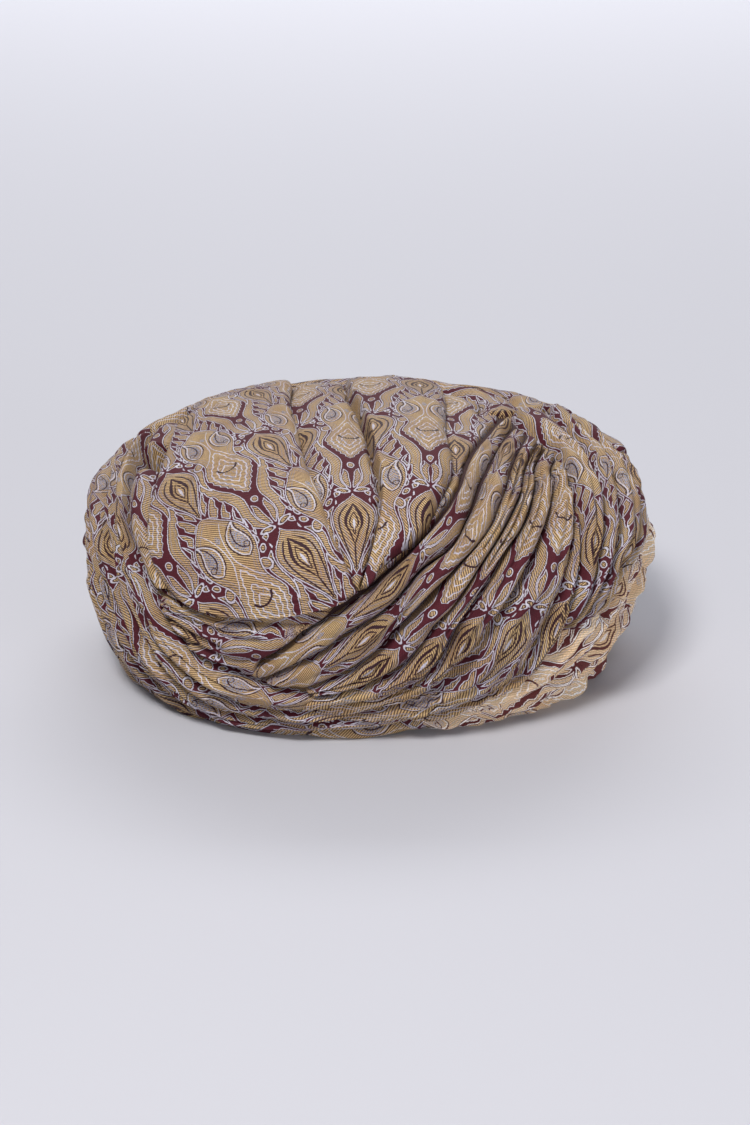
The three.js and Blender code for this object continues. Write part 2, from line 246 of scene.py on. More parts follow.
# Depth of one crease: it strays a little in its fold and fades out at its ends
def creaseDepth(crease, u, s, index, seed):
    fade, edge = uneven["creaseEnd"], uneven["creaseEdge"]
    stray = noise(seed, u * uneven["creaseWaves"], crease["share"] * uneven["creaseStep"])
    middle = crease["share"] + uneven["creaseStray"] * stray
    window = smooth((u - crease["from"]) / fade) * smooth((crease["to"] - u) / fade)
    valley = np.exp(-((s - middle) / crease["width"]) ** 2) * (index[None, :] == crease["fold"])
    return crease["depth"] * window * valley * smooth(s / edge) * smooth((1 - s) / edge)


# Places of a wrap's grid of cloth: rows run along the folds and columns across them
def foldedCloth(wrap):
    lines, perFold, seed = wrap["lines"], wrap["perFold"], wrap["seed"]
    folds = len(lines) - 1
    along = np.linspace(0, 1, wrap["steps"] + 1)
    curves = np.stack([foldCurve(line["path"], along) for line in lines])
    inFold = 0.5 - 0.5 * np.cos(np.pi * np.linspace(0, 1, perFold + 1))
    tuck = np.arange(clothDepth["tuckColumns"], 0, -1)
    index = np.concatenate([tuck * 0, np.repeat(np.arange(folds), perFold), [folds - 1],
                            tuck * 0 + folds - 1])
    share = np.concatenate([tuck * 0, np.tile(inFold[:-1], folds), [1], tuck * 0 + 1]).astype(float)
    sink = np.concatenate([tuck, np.zeros(folds * perFold + 1), tuck[::-1]]) / len(tuck)
    u, s = along[:, None], share[None, :]
    lineAt = np.arange(folds + 1)[None, :] * uneven["wanderStep"]
    wander = wrap["wander"] * noise(seed, u * uneven["wanderWaves"], lineAt)
    wander[:, [0, -1]] *= uneven["edgeWander"]
    ridge = unevenHeights([line["ridge"] for line in lines[:-1]], along, seed + 2, *uneven["ridge"])
    groove = unevenHeights([wrap["groove"]] * len(lines), along, seed + 1, *uneven["groove"])
    low = np.stack([heightAlong(line["valley"], along) for line in lines], 1) - groove
    left, right = (np.array([line.get("wall", wrap["wall"])[side] for line in lines[:-1]])[index]
                   for side in (0, 1))
    rise = wallShape(s / left) * wallShape((1 - s) / right)
    base = low[:, index] + (low[:, index + 1] - low[:, index]) * smooth(s)
    lift = base + (ridge[:, index] - base) * rise + wrap["crown"] * np.sin(np.pi * s)
    for row in wrap["creases"]:
        lift = lift - creaseDepth(dict(zip(creaseColumns, row)), u, s, index, seed + 3)
    side = s + wrap["lean"] * 4 * rise * (1 - rise)
    side = side + wander[:, index] + (wander[:, index + 1] - wander[:, index]) * s
    inward = np.where(share < 0.5, 1, -1) * sink * clothDepth["tuckBack"] * clothDepth["tuckColumns"]
    side = side + inward[None, :]
    lift = lift - sink[None, :] * (lift + clothDepth["tuck"])
    ramp = wallShape(u / wrap["ends"][0]) * wallShape((1 - u) / wrap["ends"][1])
    lift = -clothDepth["tuck"] + (lift + clothDepth["tuck"]) * ramp
    way = curves[index].transpose(1, 0, 2) * (1 - side)[..., None]
    way = way + curves[index + 1].transpose(1, 0, 2) * side[..., None]
    plain = formPoint(bodyForm, way, lift)[0]
    down, over = lengthsAlong(plain, 0), lengthsAlong(plain, 1)
    soft = wrinkles(wrinkleWaves, seed + 4, down, over)
    soft = soft + wrap["crumple"] / wrap["wrinkle"] * wrinkles(crumpleWaves, seed + 7, down, over)
    height = uneven["wrinkledGroove"] + (1 - uneven["wrinkledGroove"]) * rise
    lift = lift + wrap["wrinkle"] * soft * height * (1 - sink[None, :]) * ramp
    return {"way": way, "lift": lift, "index": index, "share": share}


# Where the cloth's own pattern lies on it, in millimetres across and along
def clothMap(wrap, points, normals, cloth):
    if "spread" in wrap:
        return spreadMap(wrap["spread"], points, normals)
    index, share = cloth["index"], cloth["share"]
    over, down = lengthsAlong(points, 1), lengthsAlong(points, 0)
    across, along = np.empty_like(over), np.empty_like(down)
    for fold in range(len(wrap["lines"]) - 1):
        mine = np.flatnonzero(index == fold)
        crest = mine[np.argmin(abs(share[mine] - 0.5))]
        width = (over[:, mine[-1]] - over[:, mine[0]]).max()
        pitch = wrap["foldPitch"] or width + wrap["foldGap"]
        across[:, mine] = over[:, mine] - over[:, [crest]] + fold * pitch
        along[:, mine] = down[:, [crest]]
    return across + wrap["patternStart"][0], along + wrap["patternStart"][1]


# Cloth laid flat outwards from one point, with its length towards another
def spreadMap(spread, points, normals):
    centre, up = (formPoint(bodyForm, direction(*np.array(spread[key], float)), clothDepth["spreadLift"])
                  for key in ("centre", "towards"))
    normal = centre[1] / np.linalg.norm(centre[1])
    length = up[0] - centre[0]
    length = length - normal * (length @ normal)
    length /= np.linalg.norm(length)
    width = np.cross(length, normal)
    away = points - centre[0]
    distance = np.linalg.norm(away, axis=-1)
    bend = np.arccos(np.clip(normals @ normal, -1, 1)) / 2
    distance = distance * np.where(bend > 1e-3, bend / np.maximum(np.sin(bend), 1e-3), 1)
    x, y = away @ width, away @ length
    reach = np.maximum(np.hypot(x, y), 1e-6)
    return x / reach * distance + spread["at"][0], y / reach * distance + spread["at"][1]


# Faces of a grid of points, by row and column
def gridFaces(rows, columns):
    corner = np.arange(rows * columns).reshape(rows, columns)
    return np.stack([corner[:-1, :-1], corner[:-1, 1:], corner[1:, 1:], corner[1:, :-1]], -1).reshape(-1, 4)


# Pushes cloth that lies under other wraps below them
def pushUnder(points, normals, covers):
    flat, faces, offset = [], [], 0
    for cover in covers:
        rows, columns = cover.shape[:2]
        flat.append(cover.reshape(-1, 3))
        faces.append(gridFaces(rows, columns) + offset)
        offset += rows * columns
    tree = BVHTree.FromPolygons(np.vstack(flat).tolist(), np.vstack(faces).tolist())
    reach, depth, gap = clothDepth["reach"], clothDepth["depth"], clothDepth["gapUnder"]
    starts = (points + normals * reach).reshape(-1, 3).tolist()
    push = np.zeros(len(starts))
    for n, (start, normal) in enumerate(zip(starts, normals.reshape(-1, 3).tolist())):
        far = tree.ray_cast(start, [-normal[0], -normal[1], -normal[2]], reach + depth)[3]
        if far is not None:
            push[n] = max(far - reach + gap, 0)
    push = push.reshape(points.shape[:2])
    for step in range(clothDepth["softSteps"]):
        wide = np.pad(push, 1, mode="edge")
        near = (wide[:-2, 1:-1] + wide[2:, 1:-1] + wide[1:-1, :-2] + wide[1:-1, 2:]) / 4
        push = np.maximum(push, near)
    return points - normals * push[..., None]


# A cover without its tucked borders and ends
def coverPart(wrap, points):
    first, last = (int(end * wrap["steps"] * clothDepth["coverStart"]) for end in wrap["ends"])
    tuck = clothDepth["tuckColumns"]
    return points[first:len(points) - last, tuck:-tuck]


# The underside lies flat on the floor
def restOnFloor(points):
    soft = clothDepth["floorSoftness"]
    points[..., 2] = 0.5 * (points[..., 2] + np.sqrt(points[..., 2] ** 2 + soft ** 2))
    return points


def gridObject(name, points, across, along):
    rows, columns = points.shape[:2]
    bm = bmesh.new()
    bmesh.ops.create_grid(bm, x_segments=columns - 1, y_segments=rows - 1, size=0.5)
    mesh = bpy.data.meshes.new(name)
    bm.to_mesh(mesh)
    bm.free()
    place = np.empty(len(mesh.vertices) * 3, np.float32)
    mesh.vertices.foreach_get("co", place)
    place = place.reshape(-1, 3) + 0.5
    column = np.rint(place[:, 0] * (columns - 1)).astype(int)
    row = np.rint(place[:, 1] * (rows - 1)).astype(int)
    mesh.vertices.foreach_set("co", (points[row, column] * mm).astype(np.float32).ravel())
    corner = np.empty(len(mesh.loops), np.int32)
    mesh.loops.foreach_get("vertex_index", corner)
    chart = np.stack([across[row, column], along[row, column]], -1)
    layer = mesh.uv_layers.new(name="cloth")
    layer.data.foreach_set("uv", chart[corner].astype(np.float32).ravel())
    mesh.update()
    middle = mesh.polygons[len(mesh.polygons) // 2]
    if middle.normal.dot(middle.center - Vector(bodyCentre) * mm) < 0:
        mesh.flip_normals()
    mesh.shade_smooth()
    thing = bpy.data.objects.new(name + ".cloth", mesh)
    bpy.context.scene.collection.objects.link(thing)
    return thing

crownLeftPanel = {
    "name": "crown_left_panel", "seed": 11, "steps": 260, "perFold": 64,
    "groove": 0, "wall": (0.42, 0.42), "wrinkle": 0.7, "crown": 0,
    "spread": {"centre": (-11.6, 26.3), "towards": (-48.2, 52.1), "at": (0, 0)},
    "under": ["right_front_wrap", "lower_left_wrap", "back_upper_wrap"],
    "lines": [
        {"valley": (3.5, 5.5, 6.5), "ridge": (9, 10.5, 10), "wall": (0.13, 0.001),
         "path": [(-126, 36), (-112, 49), (-92, 49), (-67, 43), (-54, 31), (-44, 15), (-34, 5),
                  (-18, 6), (-3, 13)]},
        {"valley": (9, 10.5, 10), "ridge": (9, 10.5, 10), "wall": (0.001, 0.17),
         "path": [(-140, 40), (-136, 56), (-108, 60), (-64, 57), (-41, 45), (-29, 32), (-22, 20),
                  (-12, 14), (-2, 15)]},
        {"valley": 5,
         "path": [(-152, 40), (-153, 54), (-122, 71), (-50, 72), (-24, 61), (-13, 50), (-8, 38),
                  (-4, 27), (-1, 16)]},
    ],
}

crownValleyPleat = {
    "name": "crown_valley_pleat", "seed": 21, "steps": 220, "perFold": 40,
    "groove": 3, "wall": (0.3, 0.3), "wrinkle": 0.6,
    "spread": {"centre": (-2.2, 37.9), "towards": (-14.4, 76.5), "at": (0, 0)},
    "under": ["crown_left_panel", "crown_middle_pleat", "right_front_wrap", "back_upper_wrap"],
    "lines": [
        {"valley": 0, "ridge": (5, 6.5, 7), "wall": (0.6, 0.3),
         "path": [(-150, 40), (-150, 54), (-116, 70), (-50, 70), (-28, 60), (-17, 49), (-12, 37),
                  (-8, 26), (-3, 16)]},
        {"valley": 5,
         "path": [(-174, 40), (-174, 58), (-167, 80), (0, 84), (5, 68), (7, 54), (6, 44), (3, 33),
                  (0, 17)]},
    ],
}

crownMiddlePleat = {
    "name": "crown_middle_pleat", "seed": 31, "steps": 240, "perFold": 70,
    "groove": 7, "wall": (0.09, 0.15), "lean": 0.02, "wrinkle": 0.7,
    "spread": {"centre": (22.1, 54.9), "towards": (51.0, 73.5), "at": (0, 40)},
    "under": ["crown_left_panel", "right_front_wrap", "back_upper_wrap"],
    "lines": [
        {"valley": 7, "ridge": (7, 11, 10),
         "path": [(-173, 39), (-172, 57), (-165, 79), (-6, 84), (3, 68), (5, 54), (4, 44), (2, 33),
                  (-1, 17)]},
        {"valley": 7,
         "path": [(162, 39), (146, 60), (85, 73), (44, 65), (28, 53), (20, 45), (13, 35), (5, 27),
                  (1, 18)]},
    ],
}

crownRightPleat = {
    "name": "crown_right_pleat", "seed": 41, "steps": 200, "perFold": 50,
    "groove": 3, "wall": (0.3, 0.4), "lean": 0.02, "wrinkle": 0.6,
    "spread": {"centre": (22.1, 54.9), "towards": (51.0, 73.5), "at": (12, 47)},
    "under": ["crown_middle_pleat", "right_front_wrap", "back_upper_wrap"],
    "lines": [
        {"valley": 2, "ridge": (1, 1.5, 5),
         "path": [(164, 39), (150, 60), (92, 74), (42, 66), (26, 54), (18, 46), (11, 36), (4, 28),
                  (0, 19)]},
        {"valley": 2,
         "path": [(132, 40), (108, 56), (84, 60), (58, 59), (41, 53), (31, 46), (22, 39), (14, 31),
                  (5, 22)]},
    ],
}

rightFrontWrap = {
    "name": "right_front_wrap", "seed": 51, "steps": 330, "perFold": 28,
    "groove": (5, 9, 9), "wall": (0.42, 0.28), "lean": 0.10, "wrinkle": 1.2, "wander": 0.1,
    "ends": (0.07, 0.03),
    "foldPitch": 54, "patternStart": (0, 50),
    "creases": [
        (2, .50, .08, .40, 2.2, .08), (3, .75, .15, .55, 2.6, .08), (4, .25, .15, .60, 2.8, .07),
        (5, .20, .15, .60, 2.6, .07), (5, .50, .12, .60, 3.0, .07), (5, .85, .20, .70, 2.4, .07),
        (6, .25, .15, .70, 2.6, .08), (6, .75, .15, .65, 2.6, .08),
        (0, .50, .30, .62, 1.8, .10), (1, .40, .42, .90, 2.4, .09), (1, .70, .10, .50, 1.8, .09),
        (2, .35, .30, .70, 2.2, .09), (2, .65, .55, .92, 2.6, .09), (3, .50, .50, .95, 2.8, .09),
        (3, .30, .12, .50, 2.2, .09), (4, .45, .45, .90, 2.6, .09), (4, .70, .15, .60, 1.8, .09),
        (5, .35, .50, .92, 2.4, .09), (5, .68, .30, .80, 2.0, .08), (6, .50, .40, .90, 2.2, .10),
    ],
    "under": ["right_outer_wrap", "lower_left_wrap", "back_upper_wrap"],
    "lines": [
        {"valley": 2, "ridge": (8, 9, 1),
         "path": [(-26, -14), (-14, -3), (-4, 11), (5, 25), (13, 35), (21, 44), (30, 51), (48, 61),
                  (88, 63), (118, 54)]},
        {"valley": 5, "ridge": (8, 9, 1),
         "path": [(-27, -18), (-14, -9), (-4, -1), (5, 12), (12, 25), (20, 33), (27, 42), (42, 54),
                  (78, 60), (117, 51)]},
        {"valley": 4, "ridge": (8, 9, 2),
         "path": [(-29, -22), (-14, -17), (-3, -11), (4, -2), (11, 12), (20, 25), (28, 34), (41, 46),
                  (66, 55), (116, 48)]},
        {"valley": 4, "ridge": (8, 10, 3),
         "path": [(-27, -25), (-12, -19), (0, -15), (9, -8), (16, 6), (24, 22), (33, 34), (46, 44),
                  (65, 52), (115, 45)]},
        {"valley": 7, "ridge": (7, 10, 4),
         "path": [(-20, -25), (-6, -21), (6, -17), (14, -10), (20, 7), (28, 23), (37, 33), (50, 43),
                  (67, 50), (114, 42)]},
        {"valley": 5, "ridge": (7, 10, 6),
         "path": [(-14, -26), (0, -24), (11, -19), (18, -11), (25, 0), (32, 16), (40, 28), (52, 39),
                  (69, 47), (113, 39)]},
        {"valley": 4, "ridge": (6, 9, 7),
         "path": [(3, -27), (13, -26), (22, -23), (31, -18), (36, -8), (40, 5), (46, 20), (57, 35),
                  (73, 44), (113, 36)]},
        {"valley": 3,
         "path": [(14, -29), (21, -27), (28, -23), (36, -18), (41, -7), (45, 5), (50, 20), (61, 34),
                  (78, 42), (113, 33)]},
    ],
}

rightOuterWrap = {
    "name": "right_outer_wrap", "seed": 61, "steps": 240, "perFold": 26,
    "groove": 8, "wall": (0.35, 0.32), "lean": 0.07, "wrinkle": 1.2, "ends": (0.025, 0.12),
    "creases": [
        (0, .50, .20, .80, 2.2, .09), (1, .40, .10, .60, 2.2, .09), (1, .70, .40, .95, 2.2, .09),
        (2, .50, .20, .90, 2.4, .09), (3, .35, .20, .70, 2.2, .09), (3, .70, .40, .90, 1.8, .09),
    ],
    "under": ["back_upper_wrap", "back_middle_wrap"],
    "lines": [
        {"valley": 4, "ridge": (5, 10, 11),
         "path": [(125, 52), (101, 57), (80, 50), (66, 43), (55, 32), (48, 20), (45, 8), (41, -9)]},
        {"valley": 6, "ridge": (8, 11, 11),
         "path": [(124, 44), (104, 47), (86, 42), (72, 36), (61, 27), (53, 16), (48, 4), (43, -11)]},
        {"valley": 5, "ridge": (10, 11, 11),
         "path": [(123, 37), (106, 40), (92, 37), (79, 32), (67, 24), (58, 14), (50, 3), (45, -11)]},
        {"valley": 5, "ridge": (11, 11, 9),
         "path": [(122, 29), (108, 31), (97, 29), (86, 24), (76, 17), (66, 10), (55, 2), (46, -12)]},
        {"valley": 3,
         "path": [(121, 21), (110, 22), (101, 20), (92, 15), (82, 9), (72, 4), (60, -3), (48, -13)]},
    ],
}

lowerRightWrap = {
    # This wrap wears the paler brocade, whose colours also carry painted light from the right
    "name": "lower_right_wrap", "slot": "light_brocade", "seed": 71, "steps": 260, "perFold": 30,
    "groove": 5, "wall": (0.45, 0.42), "lean": 0.06, "wrinkle": 1.4, "crumple": 2.4, "wander": 0.16,
    "ends": (0.025, 0.1),
    "creases": [
        (0, .25, .20, .60, 2.6, .06), (0, .48, .10, .75, 3.4, .07), (0, .72, .30, .90, 3.0, .06),
        (1, .20, .05, .50, 3.2, .06), (1, .40, .25, .85, 3.0, .06), (1, .62, .10, .70, 3.6, .07),
        (1, .84, .35, .90, 2.8, .06), (2, .25, .15, .80, 3.2, .06), (2, .48, .05, .60, 3.0, .06),
        (2, .70, .25, .90, 3.0, .06),
    ],
    "under": ["right_front_wrap", "right_outer_wrap", "back_middle_wrap", "back_lower_wrap"],
    "lines": [
        {"valley": 4, "ridge": (11, 9, 5),
         "path": [(112, 30), (98, 30), (84, 22), (70, 12), (56, 3), (44, -10), (30, -19), (16, -24),
                  (6, -27)]},
        {"valley": 5, "ridge": (14, 10, 5),
         "path": [(112, 10), (97, 9), (84, 3), (72, -5), (60, -12), (49, -19), (36, -25), (22, -29),
                  (8, -30)]},
        {"valley": 5, "ridge": (12, 9, 4),
         "path": [(112, -10), (98, -12), (86, -15), (75, -19), (64, -24), (52, -29), (40, -31),
                  (25, -32), (10, -33)]},
        {"valley": 3,
         "path": [(112, -38), (98, -39), (87, -40), (77, -40), (67, -41), (55, -41), (41, -40),
                  (26, -39.5), (10, -39.5)]},
    ],
}

lowerLeftWrap = {
    "name": "lower_left_wrap", "seed": 81, "steps": 380, "perFold": 26,
    "groove": 8, "wall": (0.42, 0.28), "lean": 0.09, "wrinkle": 1.3, "wander": 0.1, "ends": (0.025, 0.1),
    "creases": [
        (0, .35, .20, .85, 2.2, .08), (0, .70, .30, .95, 2.4, .08), (1, .28, .10, .60, 2.6, .08),
        (1, .50, .25, .75, 2.8, .08), (1, .78, .45, .95, 2.6, .07), (2, .22, .20, .60, 2.8, .06),
        (2, .42, .35, .95, 3.0, .06), (2, .60, .15, .80, 2.8, .06), (2, .80, .40, .95, 2.6, .06),
        (3, .22, .35, .95, 2.6, .06), (3, .42, .15, .60, 2.6, .06), (3, .62, .30, .85, 3.0, .06),
        (3, .83, .10, .60, 2.4, .06), (4, .22, .30, .90, 2.4, .07), (4, .45, .10, .60, 2.8, .07),
        (4, .70, .20, .80, 2.8, .07), (5, .35, .05, .55, 2.6, .08), (5, .68, .15, .60, 2.6, .08),
    ],
    "under": ["lower_right_wrap", "back_upper_wrap", "back_middle_wrap", "back_lower_wrap"],
    "lines": [
        {"valley": 4, "ridge": (8, 12, 10), "wall": (0.3, 0.28),
         "path": [(-128, 40), (-104, 37), (-82, 36), (-67, 31), (-57, 24), (-49, 14), (-44, 4),
                  (-39, -6), (-32, -12), (-22, -15), (-14, -17), (-6, -18)]},
        {"valley": 5, "ridge": (10, 10, 10),
         "path": [(-128, 34), (-107, 33), (-86, 33), (-71, 29), (-61, 22), (-53, 13), (-48, 3),
                  (-43, -8), (-36, -15), (-28, -20), (-18, -22), (-6, -23)]},
        {"valley": 3, "ridge": (10, 11, 10),
         "path": [(-128, 28), (-109, 29), (-90, 30), (-74, 26), (-64, 20), (-56, 11), (-52, 1),
                  (-47, -10), (-40, -19), (-31, -25), (-16, -26), (8, -25)]},
        {"valley": 4, "ridge": (8, 9, 9),
         "path": [(-129, 18), (-112, 20), (-97, 20), (-83, 17), (-74, 11), (-67, 2), (-61, -8),
                  (-53, -17), (-44, -24), (-31, -29), (-10, -29), (22, -29)]},
        {"valley": 5, "ridge": (6, 9, 3),
         "path": [(-130, 8), (-115, 9), (-102, 9), (-91, 5), (-83, -1), (-76, -9), (-69, -18),
                  (-60, -26), (-48, -31), (-32, -34), (-9, -34), (24, -34)]},
        {"valley": 4, "ridge": (7, 6, 3),
         "path": [(-131, -8), (-117, -10), (-106, -13), (-98, -17), (-91, -22), (-84, -27), (-76, -33),
                  (-66, -37), (-52, -38), (-33, -37.5), (-8, -37), (26, -37)]},
        {"valley": 3,
         "path": [(-131, -40), (-117, -41), (-106, -42), (-98, -42), (-91, -42), (-84, -43), (-76, -44),
                  (-66, -43), (-52, -41), (-33, -40), (-8, -39.5), (26, -39.5)]},
    ],
}

upperLeftWrap = {
    "name": "upper_left_wrap", "seed": 91, "steps": 200, "perFold": 36,
    "groove": 3, "wall": (0.4, 0.35), "lean": 0.05, "wrinkle": 1.2,
    "creases": [
        (0, .35, .02, .45, 2.4, .06), (0, .62, .02, .60, 3.0, .06), (0, .85, .05, .70, 2.8, .05),
        (1, .14, .02, .75, 2.8, .05), (1, .32, .05, .85, 3.2, .05), (1, .50, .02, .70, 2.8, .05),
        (1, .68, .05, .85, 3.2, .05), (1, .85, .02, .80, 2.6, .05),
    ],
    "under": ["crown_left_panel", "right_front_wrap", "lower_left_wrap", "side_tuck_bulge"],
    "lines": [
        {"valley": 0, "ridge": (3, 4, 4),
         "path": [(-62, 26), (-52, 20), (-42, 15), (-30, 13), (-17, 14), (-4, 15)]},
        {"valley": 5.5, "ridge": (7, 7, 6),
         "path": [(-58, 20), (-50, 11), (-41, 5), (-30, 2), (-19, 2), (-8, 3)]},
        {"valley": 4,
         "path": [(-55, 14), (-49, 2), (-42, -7), (-33, -13), (-24, -15), (-15, -14)]},
    ],
}

sideTuckBulge = {
    "name": "side_tuck_bulge", "seed": 101, "steps": 90, "perFold": 50,
    "groove": 4, "wall": (0.5, 0.5), "wrinkle": 0.8,
    "under": ["crown_left_panel", "lower_left_wrap"],
    "lines": [
        {"valley": (0, -4, -4), "ridge": (8, 7, 7),
         "path": [(-77, 36), (-72, 33), (-65, 28), (-57, 21), (-50, 14), (-45, 8)]},
        {"valley": 1,
         "path": [(-71, 44), (-63, 40), (-54, 33), (-46, 25), (-42, 17), (-40, 10)]},
    ],
}

sideTuckLoop = {
    "name": "side_tuck_loop", "seed": 111, "steps": 70, "perFold": 40,
    "groove": 4, "wall": (0.5, 0.5), "wrinkle": 0.6,
    "under": ["crown_left_panel", "lower_left_wrap", "side_tuck_bulge"],
    "lines": [
        {"valley": 1, "ridge": (7, 9, 9),
         "path": [(-113, 38), (-104, 39), (-97, 40), (-89, 39)]},
        {"valley": 1,
         "path": [(-109, 48), (-101, 50), (-94, 50), (-86, 48)]},
    ],
}

backCreases = [
    (0, .50, .10, .60, 2.0, .09), (0, .75, .50, .95, 1.6, .08), (1, .40, .30, .90, 2.2, .09),
    (1, .70, .05, .45, 1.8, .08),
]

backUpperWrap = {
    "name": "back_upper_wrap", "seed": 121, "steps": 260, "perFold": 28,
    "groove": 4, "wall": (0.45, 0.35), "lean": 0.05, "wrinkle": 0.9,
    "creases": backCreases,
    "under": [],
    "lines": [
        {"valley": 4, "ridge": (2, 7, 9),
         "path": [(108, 64), (134, 57), (180, 50), (-142, 44), (-108, 41)]},
        {"valley": 5, "ridge": (7, 9, 10),
         "path": [(112, 52), (138, 45), (180, 39), (-144, 35), (-109, 35)]},
        {"valley": 4, "ridge": (10, 10, 10),
         "path": [(116, 40), (142, 33), (180, 28), (-146, 26), (-110, 29)]},
        {"valley": 4,
         "path": [(120, 28), (146, 21), (180, 17), (-148, 17), (-112, 21)]},
    ],
}

backMiddleWrap = {
    "name": "back_middle_wrap", "seed": 131, "steps": 260, "perFold": 30,
    "groove": 4, "wall": (0.45, 0.4), "lean": 0.05, "wrinkle": 0.9,
    "creases": backCreases,
    "under": ["back_upper_wrap"],
    "lines": [
        {"valley": 4, "ridge": (11, 11, 10),
         "path": [(98, 30), (134, 24), (180, 18), (-144, 16), (-108, 20)]},
        {"valley": 5, "ridge": (11, 11, 10),
         "path": [(103, 18), (136, 13), (180, 8), (-142, 6), (-106, 10)]},
        {"valley": 4,
         "path": [(107, 6), (138, 2), (180, -3), (-140, -5), (-105, 0)]},
    ],
}

backLowerWrap = {
    "name": "back_lower_wrap", "seed": 141, "steps": 300, "perFold": 28,
    "groove": 4, "wall": (0.45, 0.4), "lean": 0.05, "wrinkle": 0.9,
    "creases": backCreases,
    "under": ["back_middle_wrap", "back_upper_wrap", "right_outer_wrap"],
    "lines": [
        {"valley": 4, "ridge": (10, 10, 9),
         "path": [(91, 8), (126, 2), (156, -2), (180, -3), (-150, -4), (-111, 4)]},
        {"valley": 5, "ridge": (9, 9, 9),
         "path": [(96, -8), (126, -12), (156, -15), (180, -16), (-150, -16), (-106, -10)]},
        {"valley": 4, "ridge": (7, 7, 7),
         "path": [(102, -22), (126, -25), (156, -27), (180, -28), (-150, -28), (-100, -24)]},
        {"valley": 3,
         "path": [(107, -40), (130, -40.5), (156, -39.5), (180, -39), (-150, -39.5), (-95, -41)]},
    ],
}

wraps = [{**plainWrap, **wrap} for wrap in (
    crownLeftPanel, crownValleyPleat, crownMiddlePleat, crownRightPleat, rightFrontWrap, rightOuterWrap,
    lowerRightWrap, lowerLeftWrap, upperLeftWrap, sideTuckBulge, sideTuckLoop, backUpperWrap,
    backMiddleWrap, backLowerWrap,
)]


# Gives sockets their values: a number, a colour or another node's output
def feed(tree, sockets, values):
    for socket, value in zip(sockets, values):
        if isinstance(value, (int, float)):
            socket.default_value = value
        elif isinstance(value, tuple):
            socket.default_value = (*value, 1)
        else:
            tree.links.new(value, socket)


def maths(tree, operation, *values):
    node = tree.nodes.new("ShaderNodeMath")
    node.operation = operation
    feed(tree, node.inputs, values)
    return node.outputs[0]


def combine(tree, *values):
    node = tree.nodes.new("ShaderNodeCombineXYZ")
    feed(tree, node.inputs, values)
    return node.outputs[0]


def mixNumbers(tree, share, first, second):
    node = tree.nodes.new("ShaderNodeMix")
    feed(tree, [node.inputs[n] for n in (0, 2, 3)], (share, first, second))
    return node.outputs[0]


def mixColours(tree, share, first, second, blend="MIX"):
    node = tree.nodes.new("ShaderNodeMix")
    node.data_type = "RGBA"
    node.blend_type = blend
    feed(tree, [node.inputs[n] for n in (0, 6, 7)], (share, first, second))
    return node.outputs[2]


def mapRange(tree, value, source, result=(0, 1)):
    node = tree.nodes.new("ShaderNodeMapRange")
    names = ("Value", "From Min", "From Max", "To Min", "To Max")
    feed(tree, [node.inputs[name] for name in names], (value, *source, *result))
    return node.outputs["Result"]


# The brocade repeats every 54 mm across and 156 mm along, with a half drop. Lengths are in millimetres
weave = {
    "halfRepeat": 27, "dropHeight": 78, "lowest": -24, "tallest": 156, "curveSteps": 157,
    "edge": 0.16, "outline": 0.46, "seam": -0.15, "overlap": 0.2, "borderSlope": 0.8, "wobble": 0.35,
    "contour": 1.9, "innerContour": 3.515, "contourLine": 0.22, "shadow": 0.16, "shadowGap": 0.04,
    "scallop": 3.9, "scallopDepth": 0.9, "scallopTop": 74, "ripple": 1.6, "rippleDepth": 0.3,
    "ring": 0.33, "bold": 0.13, "paisleyLine": 0.34, "paisleyRing": 0.85, "curlLine": 0.24,
    "fanLine": 0.5, "fanTop": 79.2, "darkInset": -0.4, "blueInset": -0.3,
    "rays": 8, "rayHeight": 77.5, "rayShare": 0.75, "rayDepth": 1.5, "taper": 2, "taperShare": 0.4,
}

# Width of the part of the cloth that one axis holds: height, half width
territory = [
    (24, 9.5), (28, 11.0), (31, 11.2), (34, 11.8), (37, 12.4), (40, 13.6), (44, 16.2), (47, 18.4),
    (50, 21.5), (54, 24.8), (58, 25.2), (62, 23.8), (66, 22.0), (72, 19.4), (78, 16.9), (82, 16.1),
    (86, 15.8), (90, 16.4), (94, 18.0), (98, 18.2), (101.9, 17.6),
]

